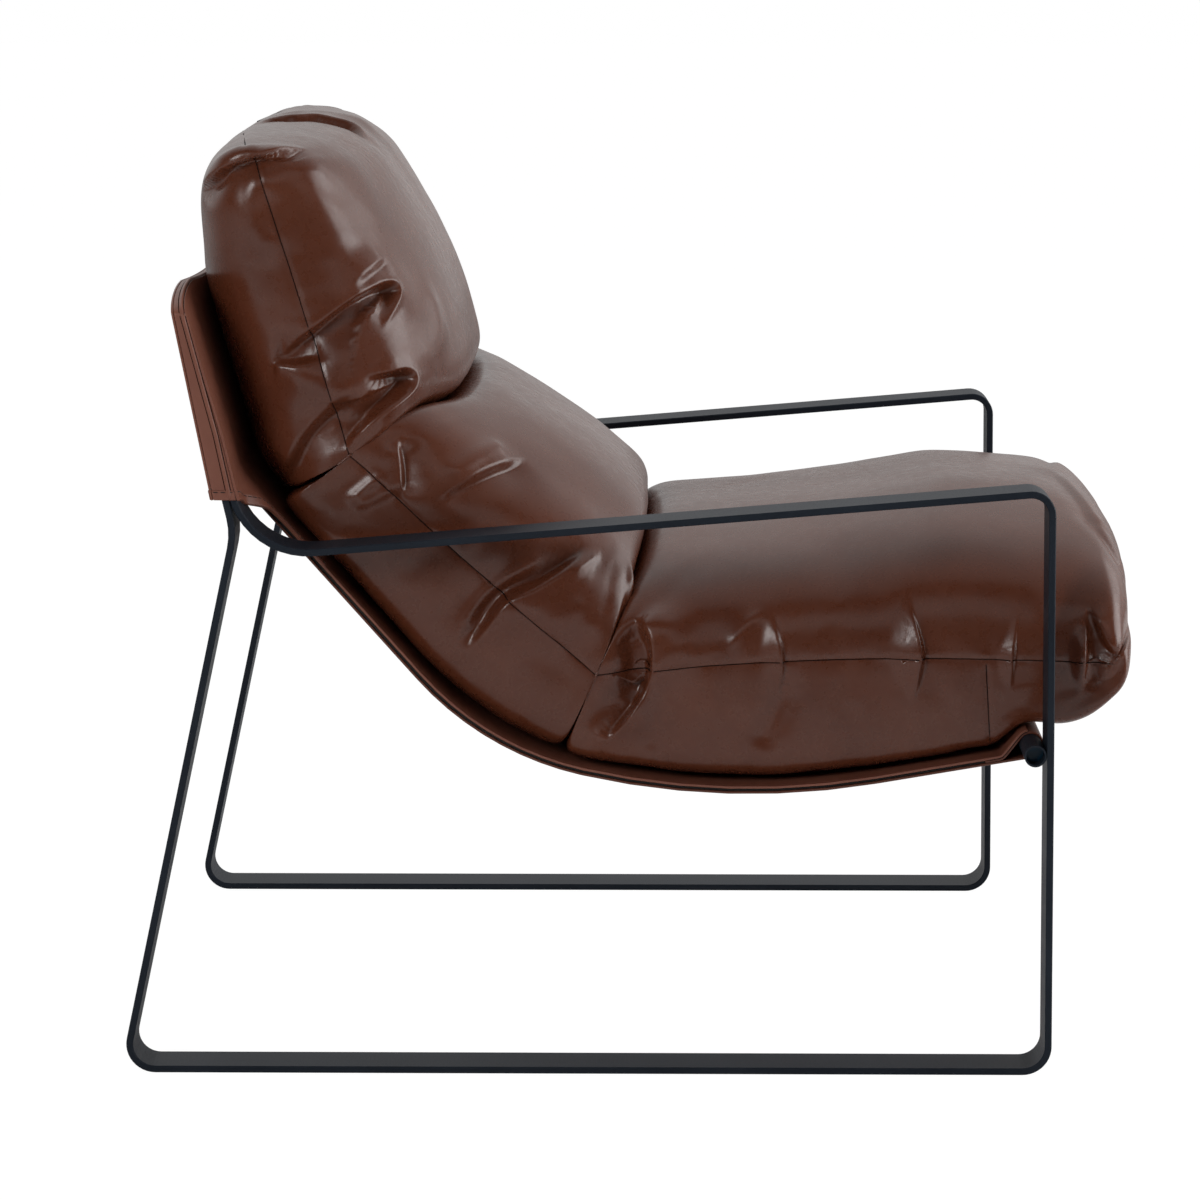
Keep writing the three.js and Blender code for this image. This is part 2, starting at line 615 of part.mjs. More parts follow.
// Woven carrier, from inside the sleeve to the hem
const core = slingLayer(CORE_AT);
const coreUpright = innerUpright.offset(CORE_AT - INNER_AT);
const coreRoute = new Route(bentPath(
  [
    coreUpright.atHeight(ARM_UPRIGHT_END),
    coreUpright.meet(core.back),
    ...core.corners,
    core.front.step(-HEM_RUN - HEM_LAP - GAP),
  ],
  [SLING_START_BEND + INNER_AT - CORE_AT, ...core.bends],
));
addMesh('sling_carrier', ribbon(coreRoute, SLING_HALF - CARRIER_INSET, CORE), carrier);

// Outer panel: from the sleeve's rear panel under the seat, and round the tube
const outer = slingLayer(OUTER_AT);
const outerStart = outer.back.meet(sleeveRear.offset(LEATHER + GAP));
const lapBend = roundedCorner(leavePoint, lapCorner, lapEnd, HEM_BEND);
const outerRoute = new Route([
  ...bentPath([outerStart, ...outer.corners, outer.front.point], outer.bends),
  ...wrap,
  ...lapBend,
  lapEnd,
]);
addMesh('sling_outer_panel', ribbon(outerRoute, SLING_HALF, LEATHER), leather);

// Rear of the sleeve, and the boxing strip round its sides and top
const rearRoute = new Route([sleeveRear.atHeight(SLEEVE_TOP), sleeveRear.atHeight(SLEEVE_BOTTOM)]);
addMesh('sleeve_rear_panel', sheet(
  [...cornerRows, TOP_EASE, rearRoute.length].map((distance) => acrossWidth(SLEEVE_HALF).map((y) => {
    const shifted = distance + topDrop(y) * Math.max(0, 1 - distance / TOP_EASE);
    const cell = rearRoute.at(shifted);
    return { point: inSpace(cell.point, y), normal: inSpace(cell.normal, 0) };
  })), LEATHER), leather);

const behindPanel = -LEATHER / 2 - GAP;
const upperFront = lineThrough(...sleeveCorners).offset(behindPanel);
const lowerFront = innerUpright.offset(behindPanel);
const frontX = (z) => Math.min(upperFront.atHeight(z).x, lowerFront.atHeight(z).x);
const boxingRear = sleeveRear.offset(LEATHER / 2 + GAP);
const CORNER_FALL = SLEEVE_CORNER * Math.cos(rad(BACK_LEAN));
const boxingSide = arc(at(0, 0), 1, 0, 90, 15).map((unit) => ({
  y: SLEEVE_STRAIGHT + SLEEVE_CORNER_RUN * unit.x,
  z: SLEEVE_TOP - CORNER_FALL * (1 - unit.y),
  inward: at(-unit.x / SLEEVE_CORNER_RUN, -unit.y / CORNER_FALL).normalize(),
}));
const boxingTop = [0.8, 0.6, 0.4, 0.2, 0].map((share) => ({
  y: share * SLEEVE_STRAIGHT,
  z: SLEEVE_TOP - topDrop(share * SLEEVE_STRAIGHT) * Math.cos(rad(BACK_LEAN)),
  inward: at(0, -1),
}));
const boxingHalf = [{ y: SLEEVE_HALF, z: SLEEVE_BOTTOM, inward: at(-1, 0) }, ...boxingSide, ...boxingTop];
const mirrored = ({ y, z, inward }) => ({ y: -y, z, inward: at(-inward.x, inward.y) });
const boxingPath = [...boxingHalf, ...boxingHalf.slice(0, -1).reverse().map(mirrored)];
const boxingPoints = boxingPath.flatMap(({ y, z, inward }) => {
  const [innerY, innerZ] = [y + LEATHER * inward.x, z + LEATHER * inward.y];
  return [
    new THREE.Vector3(boxingRear.atHeight(z).x, y, z),
    new THREE.Vector3(frontX(z), y, z),
    new THREE.Vector3(frontX(innerZ), innerY, innerZ),
    new THREE.Vector3(boxingRear.atHeight(innerZ).x, innerY, innerZ),
  ];
});
const boxingEnd = 4 * (boxingPath.length - 1);
addMesh('sleeve_boxing_strip', closedGeometry(boxingPoints, [
  ...ringFaces(boxingPath.length, 4),
  [1, 0, 3],
  [1, 3, 2],
  [boxingEnd, boxingEnd + 1, boxingEnd + 2],
  [boxingEnd, boxingEnd + 2, boxingEnd + 3],
]), leather);

// Pad: outlines at mid-width, each from the sling's face round to the creases and free edges
const padFace = innerRoute.offset(LEATHER / 2 + GAP);
const headCreaseAt = padFace.find((p) => p.y, SLEEVE_BOTTOM - HEAD_CREASE_DROP);
const headCrease = new Line(padFace.at(headCreaseAt).point, HEAD_CREASE_ANGLE);
const seatCreaseAt = padFace.find((p) => p.x, tubeCentre.x - SEAT_CREASE_FROM_TUBE);
const seatCrease = new Line(padFace.at(seatCreaseAt).point, SEAT_CREASE_ANGLE);

/** A soft edge between two points, swelling to its left by a crown that a skew moves on along it. */
function crowned(from, to, crown, skew = 1) {
  const outward = at(from.y - to.y, to.x - from.x).normalize();
  return CROWN_SHARES.map((share) => {
    const eased = share ** skew;
    return from.clone().lerp(to, share).addScaledVector(outward, 4 * crown * eased * (1 - eased));
  });
}

/**
 * A closed outline from free corners with their rounds and the crowns of the edges between them.
 * It starts and ends on the sling: `lower` holds the points of the face that lies on it.
 */
function padOutline(lower, corners) {
  const first = lower[0];
  const last = lower[lower.length - 1];
  const places = [last, ...corners.map((corner) => corner.place), first];
  const rounds = corners.map((corner, i) =>
    roundedCorner(places[i], places[i + 1], places[i + 2], corner.round, PAD_STEP));
  const outline = [...lower];
  rounds.forEach((round, i) => {
    const before = outline[outline.length - 1];
    const { crown, skew } = corners[i];
    outline.push(...(crown ? crowned(before, round[0], crown, skew) : []), ...round);
  });
  return outline;
}

/** How far a place lies from a line, on the side of it where another place is. */
function reach(line, place, other) {
  const side = Math.sign(line.left.dot(other.clone().sub(line.point)));
  return Math.max(0, side * line.left.dot(place.clone().sub(line.point)));
}

/**
 * A pillow, a depth inside its outline at mid-width, drawn in across the width to a side seam.
 * The seam runs between the points of two lines; what lies on one of them is drawn in along it.
 * The fullness is that of the crown across the width below the seam.
 */
function pillow(outline, seam, fullness, depth) {
  const ring = outline.length;
  const halfWidth = PAD_HALF - depth;
  const start = seam.start.point;
  const end = seam.end.point;
  const axis = lineThrough(start, end);
  const places = inset(outline, depth);
  const section = outline.map((q, i) => {
    const fromStart = reach(seam.start, q, end);
    const along = fromStart / (fromStart + reach(seam.end, q, start));
    const above = axis.left.dot(q.clone().sub(start));
    const share = THREE.MathUtils.smoothstep(above, -SEAM_BLEND, SEAM_BLEND);
    return {
      root: start.clone().lerp(end, along),
      place: places[i],
      power: THREE.MathUtils.lerp(fullness, UPPER_FULLNESS, share),
    };
  });
  const stations = [...PILLOW_SHARES.map((share) => -share).reverse(), 0, ...PILLOW_SHARES];
  const points = stations.flatMap((station) => section.map(({ root, place, power }) => {
    const full = (1 - Math.abs(station) ** power) ** (1 / power);
    return inSpace(root.clone().lerp(place, Math.max(SEAM_THICKNESS, full)), station * halfWidth);
  }));
  const faces = ringFaces(stations.length, ring);
  const middle = start.clone().lerp(end, 0.5);
  const last = points.length - ring;
  points.push(inSpace(middle, -halfWidth), inSpace(middle, halfWidth));
  for (let i = 0; i < ring; i += 1) {
    const next = (i + 1) % ring;
    faces.push([next, i, points.length - 2], [last + i, last + next, points.length - 1]);
  }
  return closedGeometry(points, faces);
}

/** A closed clockwise outline, moved inwards. */
function inset(outline, distance) {
  const rightOf = (from, to) => at(to.y - from.y, from.x - to.x).normalize();
  return outline.map((p, i) => {
    const before = rightOf(outline[(i + outline.length - 1) % outline.length], p);
    const after = rightOf(p, outline[(i + 1) % outline.length]);
    return p.clone().addScaledVector(before.clone().add(after), distance / (1 + before.dot(after)));
  });
}

function zipBox(place, clearance) {
  const box = new THREE.BoxGeometry(ZIP_WIDTH + 2 * clearance, ZIP_LENGTH + 2 * clearance, ZIP_CUT);
  box.rotateY(Math.atan2(place.normal.x, place.normal.y));
  return box.translate(place.point.x, 0, place.point.y);
}

function addCushion(name, outline, seam, fullness, zipPlace) {
  const shell = cut(pillow(outline, seam, fullness, 0), pillow(outline, seam, fullness, COVER));
  addMesh(`${name}_cover`, cut(shell, zipBox(zipPlace, GAP)), leather);
  addMesh(`${name}_fill`, pillow(outline, seam, fullness, COVER + FILL_GAP), wadding);
  addMesh(`${name}_zip`, common(shell, zipBox(zipPlace, 0)), zipTape);
}

const HALF_CREASE = GAP / 2;
const headTop = padFace.points[0];
const headRear = at(headTop.x - HEAD_REAR_BULGE, SLEEVE_TOP + HEAD_RISE);
const headFront = at(headRear.x + HEAD_TOP_DEPTH, headRear.y - HEAD_TOP_FALL);
const aboveHeadCrease = headCrease.offset(HALF_CREASE);
const belowHeadCrease = headCrease.offset(-HALF_CREASE);
const behindSeatCrease = seatCrease.offset(HALF_CREASE);
const beforeSeatCrease = seatCrease.offset(-HALF_CREASE);

addCushion(
  'head_cushion',
  padOutline(
    [aboveHeadCrease.point, ...padFace.between(0, headCreaseAt - CREASE_SETBACK).reverse()],
    [
      { place: headRear, round: HEAD_REAR_ROUND, crown: 0 },
      { place: headFront, round: HEAD_FRONT_ROUND, crown: 0 },
      { place: aboveHeadCrease.step(HEAD_CREASE_LENGTH), round: CREASE_ROUND, crown: HEAD_CROWN },
    ],
  ),
  {
    start: new Line(headRear.clone().lerp(headFront, SEAM_SHARE).sub(at(0, SEAM_INSET)), 0),
    end: aboveHeadCrease.from(SEAM_SHARE * HEAD_CREASE_LENGTH),
  },
  BACK_FULLNESS,
  padFace.at(headCreaseAt / 2),
);

const lumbarLip = behindSeatCrease.step(SEAT_CREASE_LENGTH + LUMBAR_LIP);
addCushion(
  'lumbar_cushion',
  padOutline(
    [
      behindSeatCrease.point,
      ...padFace.between(headCreaseAt + CREASE_SETBACK, seatCreaseAt - CREASE_SETBACK).reverse(),
      belowHeadCrease.point,
    ],
    [
      { place: belowHeadCrease.step(HEAD_CREASE_LENGTH), round: CREASE_ROUND, crown: 0 },
      { place: lumbarLip, round: CREASE_ROUND, crown: LUMBAR_CROWN },
    ],
  ),
  {
    start: belowHeadCrease.from(SEAM_SHARE * HEAD_CREASE_LENGTH),
    end: behindSeatCrease.from(SEAM_SHARE * SEAT_CREASE_LENGTH),
  },
  BACK_FULLNESS,
  padFace.at((headCreaseAt + seatCreaseAt) / 2),
);

// The seat lies on the sling, rides over the hem round the tube and hangs out past the front legs
const seatRest = padFace.find((p) => p.x, tubeCentre.x - SEAT_REST);
const overHem = (HEM_RADIUS + LEATHER + 2 * GAP) / Math.cos(rad(HEM_TOP_STEP / 2));
const hemTop = arc(tubeCentre, overHem, HEM_TOP_START, HEM_TOP_END - HEM_TOP_START, HEM_TOP_STEP);
const seatUnder = at(SEAT_OVERHANG - SEAT_UNDERCUT, tubeCentre.y - SEAT_DROP);
const seatOver = at(SEAT_OVERHANG, tubeCentre.y + SEAT_RISE);
const seatFace = padFace.between(seatCreaseAt + CREASE_SETBACK, seatRest);
addCushion(
  'seat_cushion',
  padOutline(
    [beforeSeatCrease.point, ...seatFace, ...hemTop].reverse(),
    [
      { place: beforeSeatCrease.step(SEAT_CREASE_LENGTH), round: CREASE_ROUND, crown: 0 },
      { place: seatOver, round: SEAT_FRONT_ROUND, crown: SEAT_CROWN, skew: SEAT_CROWN_SKEW },
      { place: seatUnder, round: SEAT_UNDER_ROUND, crown: 0 },
    ],
  ),
  {
    start: beforeSeatCrease.from(SEAM_SHARE * SEAT_CREASE_LENGTH),
    end: new Line(seatUnder.clone().lerp(seatOver, SEAM_SHARE).sub(at(SEAM_INSET, 0)), 90),
  },
  SEAT_FULLNESS,
  padFace.at((seatCreaseAt + seatRest) / 2),
);

// The origin is the middle of the chair's footprint, on the floor
const extent = new THREE.Box3().setFromObject(chair);
chair.position.x = -(extent.min.x + extent.max.x) / 2;

export default chair;
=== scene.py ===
"""Looks of a leather sling lounge chair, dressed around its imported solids.

Metres and degrees. +X is the way the sitter faces, +Y their left, +Z up.
"""

import logging
import math
from dataclasses import dataclass, field
from enum import Enum

import bmesh
import bpy
import numpy as np
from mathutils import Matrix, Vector, noise
from mathutils.bvhtree import BVHTree
from mathutils.kdtree import KDTree


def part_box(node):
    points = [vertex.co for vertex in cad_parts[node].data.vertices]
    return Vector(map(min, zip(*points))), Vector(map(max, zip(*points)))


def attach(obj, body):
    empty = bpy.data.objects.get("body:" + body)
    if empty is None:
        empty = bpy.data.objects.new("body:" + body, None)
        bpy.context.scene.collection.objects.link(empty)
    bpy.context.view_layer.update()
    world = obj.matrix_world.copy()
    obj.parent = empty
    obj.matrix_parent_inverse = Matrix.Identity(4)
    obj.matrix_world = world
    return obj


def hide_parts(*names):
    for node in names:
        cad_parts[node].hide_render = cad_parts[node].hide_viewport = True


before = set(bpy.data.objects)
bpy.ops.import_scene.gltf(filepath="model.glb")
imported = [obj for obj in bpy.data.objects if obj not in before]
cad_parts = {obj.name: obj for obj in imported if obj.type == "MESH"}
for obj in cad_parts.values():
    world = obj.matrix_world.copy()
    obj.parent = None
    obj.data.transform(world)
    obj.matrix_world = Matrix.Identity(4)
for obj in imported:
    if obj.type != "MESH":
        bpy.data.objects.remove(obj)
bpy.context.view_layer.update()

LOG = logging.getLogger("chair")
BODY = "root"
MM = 0.001
EDGE_SHARE = 0.3  # the rounding of a sheet's edges, in thicknesses
BEAD_END = 0.4  # the size of a bead's ends, in its radii
FOLD_FADE = 3.5  # where a fold starts to fade, in its widths
FOLD_END = 4.5  # where it has faded
WHITE = (1.0, 1.0, 1.0, 1.0)

Colour = tuple[float, float, float]
Corner = tuple[float, float]
Array = np.ndarray
Socket = bpy.types.NodeSocket
Material = bpy.types.Material
Piece = bpy.types.Object


def unit(vectors: Array) -> Array:
    """The vectors along the last axis, at length one."""
    return vectors / np.maximum(np.linalg.norm(vectors, axis=-1, keepdims=True), 1e-12)


def smoothstep(value: Array, low: float, high: float) -> Array:
    """A soft step from 0 at low to 1 at high."""
    share = np.clip((value - low) / (high - low), 0.0, 1.0)
    return share * share * (3.0 - 2.0 * share)


def lengths_along(points: Array) -> Array:
    """The distance of each point of a path from its first one."""
    steps = np.linalg.norm(np.diff(points, axis=0), axis=1)
    return np.concatenate(([0.0], np.cumsum(steps)))


def resampled(points: Array, spacing: float) -> Array:
    """A path through the same corners with even steps.

    Args:
        points: The path, one point per row.
        spacing: The wanted length of a step.

    Returns:
        The points of the new path, both ends included.
    """
    along = lengths_along(points)
    count = max(2, int(round(along[-1] / spacing)) + 1)
    places = np.linspace(0.0, along[-1], count)
    return np.stack([np.interp(places, along, points[:, k]) for k in range(points.shape[1])], axis=1)


def spots(x: Array, y: Array, z: Array) -> Array:
    """Points from their coordinates, along a new last axis."""
    return np.stack(np.broadcast_arrays(x, y, z), axis=-1)


# Side view: straight lines, bends and routes in the XZ plane


@dataclass(frozen=True)
class Line:
    """A straight line of the side view, by a point and an angle from +X."""

    point: tuple[float, float]
    angle: float

    @property
    def along(self) -> Array:
        """The line's direction."""
        return np.array([math.cos(math.radians(self.angle)), math.sin(math.radians(self.angle))])

    @property
    def left(self) -> Array:
        """The direction to the left of the line."""
        return np.array([-self.along[1], self.along[0]])

    def offset(self, distance: float) -> "Line":
        """The parallel line a distance to the left."""
        return Line(tuple(np.array(self.point) + self.left * distance), self.angle)

    def reversed(self) -> "Line":
        """The same line, run the other way."""
        return Line(self.point, self.angle + 180.0)

    def step(self, distance: float) -> Array:
        """The point a distance along the line."""
        return np.array(self.point) + self.along * distance

    def start_at(self, distance: float) -> "Line":
        """The same line, started a distance along it."""
        return Line(tuple(self.step(distance)), self.angle)

    def meet(self, other: "Line") -> Array:
        """The point that both lines share."""
        between = np.array(other.point) - np.array(self.point)
        turn = self.along[0] * other.along[1] - self.along[1] * other.along[0]
        return self.step((between[0] * other.along[1] - between[1] * other.along[0]) / turn)

    def at_height(self, z: float) -> Array:
        """The line's point at a height."""
        return self.step((z - self.point[1]) / self.along[1])


def arc(centre: Array, radius: float, start: float, sweep: float, step: float = 4.0) -> Array:
    """Points on an arc of the side view, both ends included.

    Args:
        centre: The arc's centre.
        radius: Its radius.
        start: The angle of its first point.
        sweep: The angle that it turns through.
        step: The largest angle between two points.

    Returns:
        The points, one per row.
    """
    count = max(1, math.ceil(abs(sweep) / step))
    angles = np.radians(start + sweep * np.arange(count + 1) / count)
    return np.stack([centre[0] + radius * np.cos(angles), centre[1] + radius * np.sin(angles)], axis=1)


def rounded_corner(before: Array, corner: Array, after: Array, radius: float) -> Array:
    """The arc that rounds a corner between two straight stretches.

    Args:
        before: A point on the stretch that comes in.
        corner: The sharp corner.
        after: A point on the stretch that goes out.
        radius: The bend's radius.

    Returns:
        The arc's points, one per row.
    """
    inward = unit(corner - before)
    outward = unit(after - corner)
    turn = math.atan2(inward[0] * outward[1] - inward[1] * outward[0], float(inward @ outward))
    start = corner - inward * radius * math.tan(abs(turn) / 2.0)
    centre = start + np.array([-inward[1], inward[0]]) * math.copysign(radius, turn)
    from_centre = start - centre
    angle = math.degrees(math.atan2(from_centre[1], from_centre[0]))
    return arc(centre, radius, angle, math.degrees(turn))


def bent_path(corners: list[Array], radii: list[float]) -> Array:
    """An open path through corners, with a bend at each corner between its ends.

    Args:
        corners: The sharp corners, ends included.
        radii: The radius at each inner corner.

    Returns:
        The path's points, one per row.
    """
    bends = [rounded_corner(corners[i], corners[i + 1], corners[i + 2], r) for i, r in enumerate(radii)]
    return np.concatenate([[corners[0]], *bends, [corners[-1]]])


class Route:
    """A path of the side view with left-hand normals, sampled evenly."""

    def __init__(self, points: Array, spacing: float = 6 * MM) -> None:
        """Samples the path.

        Args:
            points: The path's points, one per row.
            spacing: The length of a step.
        """
        self.points = resampled(points, spacing)
        ahead = unit(np.gradient(self.points, axis=0))
        self.normals = np.stack([-ahead[:, 1], ahead[:, 0]], axis=1)
        self.distances = lengths_along(self.points)
        self.length = float(self.distances[-1])

    def at(self, distance: Array) -> tuple[Array, Array]:
        """Points and normals at distances along the route.

        Args:
            distance: The distances.

        Returns:
            The points and the normals, one per row.
        """
        pick = [np.interp(distance, self.distances, v) for v in (*self.points.T, *self.normals.T)]
        return np.stack(pick[:2], axis=-1), np.stack(pick[2:], axis=-1)

    def find_height(self, z: float) -> float:
        """Finds where the route first falls to a height.

        Args:
            z: The height.

        Returns:
            The distance along the route.
        """
        below = int(np.argmax(self.points[:, 1] <= z))
        high, low = self.points[below - 1, 1], self.points[below, 1]
        share = (high - z) / (high - low)
        return float(self.distances[below - 1] + share * (self.distances[below] - self.distances[below - 1]))


@dataclass(frozen=True)
class SideView:
    """The chair's sizes in the side view, and the lines and routes that follow from them."""

    frame_width: float = 690 * MM
    bar_width: float = 45 * MM
    bar: float = 6 * MM
    runner_length: float = 806 * MM
    rear_leg_lean: float = 12.28
    front_leg_lean: float = 0.62
    arm_height: float = 506.2 * MM
    arm_pitch: float = 4.77
    back_lean: float = 13.0
    knee_height: float = 473 * MM
    arm_upright_rise: float = 53 * MM
    arm_rear_bend: float = 65 * MM
    knee_bend: float = 60 * MM
    tube_radius: float = 9.5 * MM
    gap: float = 0.3 * MM
    leather: float = 2 * MM
    core: float = 2 * MM
    sling_side_gap: float = 3 * MM
    sling_start_rise: float = 16 * MM
    sling_start_bend: float = 45 * MM
    slant_angle: float = 48.6
    seat_rear_angle: float = 12.88
    seat_front_angle: float = 9.73
    seat_run: float = 267 * MM
    lumbar_bend_share: float = 0.4
    hem_run: float = 25 * MM
    hem_lap: float = 16 * MM
    hem_bend: float = 8 * MM
    hem_over: float = 40.0
    sleeve_height: float = 176 * MM
    sleeve_overlap: float = 5 * MM
    sleeve_clearance: float = 2 * MM
    sleeve_corner: float = 20 * MM
    sleeve_corner_run: float = 105 * MM
    sleeve_hang: float = 2.0
    sleeve_sag: float = 8 * MM
    sleeve_ease: float = 100 * MM
    cutout_length: float = 52 * MM
    head_crease_drop: float = 13 * MM
    head_crease_angle: float = 27.0
    head_crease_length: float = 198 * MM
    seat_crease_from_tube: float = 407 * MM
    seat_crease_angle: float = 67.0
    seat_crease_length: float = 202 * MM
    seam_share: float = 0.4
    seam_inset: float = 20 * MM
    head_rise: float = 130 * MM
    head_rear_bulge: float = 4 * MM
    head_top_depth: float = 156 * MM
    head_top_fall: float = 5 * MM
    seat_overhang: float = 88 * MM
    seat_undercut: float = 28 * MM
    seat_rise: float = 203 * MM
    seat_drop: float = 18 * MM

    @property
    def tube(self) -> Array:
        """The middle of the front tube, from its solid."""
        low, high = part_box("front_stretcher")
        return np.array([(low.x + high.x) / 2, (low.z + high.z) / 2])

    @property
    def front_foot(self) -> float:
        """Where the front leg's front face meets the floor."""
        lean = math.radians(self.front_leg_lean)
        to_face = self.bar + self.gap + self.tube_radius
        return float(self.tube[0]) + to_face / math.cos(lean) + float(self.tube[1]) * math.tan(lean)

    @property
    def arm(self) -> Line:
        """The middle line of the arm."""
        return Line((self.front_foot, self.arm_height), self.arm_pitch).offset(self.bar / 2)

    @property
    def rear_leg_face(self) -> Line:
        """The rear face of the rear leg."""
        return Line((self.front_foot - self.runner_length, 0.0), 90.0 - self.rear_leg_lean)

    @property
    def leg_upright(self) -> Line:
        """The middle line of the rear leg's upright, inside the sleeve."""
        face = Line(tuple(self.rear_leg_face.at_height(self.knee_height)), 90.0 + self.back_lean)
        return face.offset(-self.bar / 2)

    @property
    def arm_upright(self) -> Line:
        """The middle line of the arm's own upright, in front of the other."""
        return self.leg_upright.offset(-self.bar - self.gap)

    @property
    def sleeve_bottom(self) -> float:
        """The height of the sleeve's lower edge."""
        arm_end = self.bend_end(self.arm_upright, self.arm.reversed(), self.arm_rear_bend)
        knee_end = self.bend_end(self.leg_upright, self.rear_leg_face.offset(-self.bar / 2), self.knee_bend)
        return max(arm_end - self.sleeve_overlap, knee_end + self.sleeve_clearance)

    @property
    def sleeve_top(self) -> float:
        """The height of the sleeve's highest edge."""
        return self.sleeve_bottom + self.sleeve_height

    @property
    def on_bars(self) -> float:
        """From the middle of a bar to the middle of the leather on it."""
        return self.bar / 2 + self.gap + self.leather / 2

    @property
    def outer_at(self) -> float:
        """The height of the outer panel's middle over the sling's underside."""
        return self.leather / 2

    @property
    def core_at(self) -> float:
        """The height of the carrier's middle over the sling's underside."""
        return self.leather + self.gap + self.core / 2

    @property
    def inner_at(self) -> float:
        """The height of the inner panel's middle over the sling's underside."""
        return self.leather + 2 * self.gap + self.core + self.leather / 2

    @property
    def sling_half(self) -> float:
        """Half the sling's width."""
        return self.frame_width / 2 - self.bar_width - self.sling_side_gap

    @property
    def sleeve_half(self) -> float:
        """Half the sleeve's width."""
        return self.frame_width / 2 + self.gap + self.leather

    @property
    def sleeve_straight(self) -> float:
        """Half the width of the sleeve's top between its falling corners."""
        return self.sleeve_half - self.sleeve_corner_run

    @property
    def bar_y(self) -> float:
        """The middle of a side frame, across the chair."""
        return (self.frame_width - self.bar_width) / 2

    @property
    def inner_upright(self) -> Line:
        """The middle of the sleeve's front where it lies on both bars, run downwards."""
        return self.arm_upright.reversed().offset(self.on_bars)

    @property
    def sleeve_rear(self) -> Line:
        """The middle of the sleeve's rear panel, run downwards."""
        top = self.leg_upright.reversed().offset(-self.on_bars).at_height(self.sleeve_top)
        return Line(tuple(top), self.leg_upright.angle + 180.0 - self.sleeve_hang)

    @property
    def hem_radius(self) -> float:
        """From the tube's middle to the outside of the hem."""
        return self.tube_radius + self.gap + self.leather

    @property
    def wrap_radius(self) -> float:
        """From the tube's middle to the middle of the leather round it."""
        return self.tube_radius + self.gap + self.leather / 2

    @property
    def lap(self) -> Line:
        """The hem's end between the sling's panels, from its bend at the front to the rear."""
        line = self.seat_front.offset(self.core_at)
        return Line(tuple(line.step(-self.hem_run)), self.seat_front_angle + 180.0)

    @property
    def leave_angle(self) -> float:
        """The angle round the tube at which the hem comes away from it."""
        to_lap = np.array(self.lap.point) - self.tube
        back = math.degrees(math.atan2(to_lap[1], to_lap[0])) % 360.0
        return back - math.degrees(math.acos(self.wrap_radius / float(np.linalg.norm(to_lap))))

    @property
    def slant(self) -> Line:
        """The sling's underside behind the lower back."""
        start = self.inner_upright.at_height(self.sleeve_bottom + self.sling_start_rise)
        return Line(tuple(start), -self.slant_angle).offset(-self.inner_at)

    @property
    def seat_front(self) -> Line:
        """The sling's underside at the front of the seat."""
        return Line(tuple(self.tube), self.seat_front_angle).offset(-self.hem_radius)

    @property
    def seat_rear(self) -> Line:
        """The sling's underside at the rear of the seat."""
        return Line(tuple(self.seat_front.step(-self.seat_run)), -self.seat_rear_angle)

    @property
    def sleeve_corners(self) -> list[Array]:
        """The sleeve's front, from its top to where it comes on to the shorter upright."""
        top = self.leg_upright.reversed().offset(self.on_bars).at_height(self.sleeve_top)
        rise = self.sleeve_bottom + self.arm_upright_rise + self.leather
        return [top, self.inner_upright.at_height(rise)]

    @staticmethod
    def bend_end(upright: Line, source: Line, radius: float) -> float:
        """The height at which a bend of the bar ends on its upright.

        Args:
            upright: The bar's line after the bend.
            source: The bar's line before it.
            radius: The bend's radius.

        Returns:
            The height.
        """
        half = math.radians((upright.angle - source.angle) / 2)
        return float(upright.meet(source)[1] + radius * abs(math.tan(half)) * upright.along[1])

    def layer(self, above: float) -> tuple[list[Line], list[Array], list[float]]:
        """One layer of the sling below the sleeve.

        Args:
            above: The layer's height over the sling's underside.

        Returns:
            Its three straight lines, its two corners and the radii of its two bends.
        """
        corner = self.slant.meet(self.seat_rear)
        run = float(np.linalg.norm(corner - np.array(self.seat_rear.point)))
        turns = (self.slant_angle - self.seat_rear_angle, self.seat_rear_angle + self.seat_front_angle)
        shares = (self.lumbar_bend_share, 1 - self.lumbar_bend_share)
        bends = [s * run / math.tan(math.radians(t) / 2) - above for s, t in zip(shares, turns)]
        back, rear, front = (line.offset(above) for line in (self.slant, self.seat_rear, self.seat_front))
        return [back, rear, front], [back.meet(rear), rear.meet(front)], bends

    def inner_route(self) -> Route:
        """The inner panel at mid-width, from the sleeve's top to the hem.

        Returns:
            The middle of its leather.
        """
        lines, corners, bends = self.layer(self.inner_at)
        over = arc(self.tube, self.wrap_radius + self.leather + self.gap, self.leave_angle, -self.hem_over)
        leave = arc(self.tube, self.wrap_radius, self.leave_angle, 1.0)[0]
        rising = leave - np.array(self.lap.point)
        angle = math.degrees(math.atan2(rising[1], rising[0]))
        rise = Line(self.lap.point, angle).offset(self.leather + self.gap)
        path = [*self.sleeve_corners, self.inner_upright.meet(lines[0]), *corners, lines[2].meet(rise), over[0]]
        radii = [self.sleeve_ease, self.sling_start_bend, *bends, self.hem_bend - self.leather - self.gap]
        return Route(np.concatenate([bent_path(path, radii), over]), spacing=3.5 * MM)

    def side_route(self) -> Route:
        """The inner panel at its sides, which stays on the arm's bar."""
        top = self.arm.offset(self.on_bars)
        path = [*self.sleeve_corners, self.inner_upright.meet(top), top.step(-self.tube_radius)]
        return Route(bent_path(path, [self.sleeve_ease, self.arm_rear_bend - self.on_bars]))

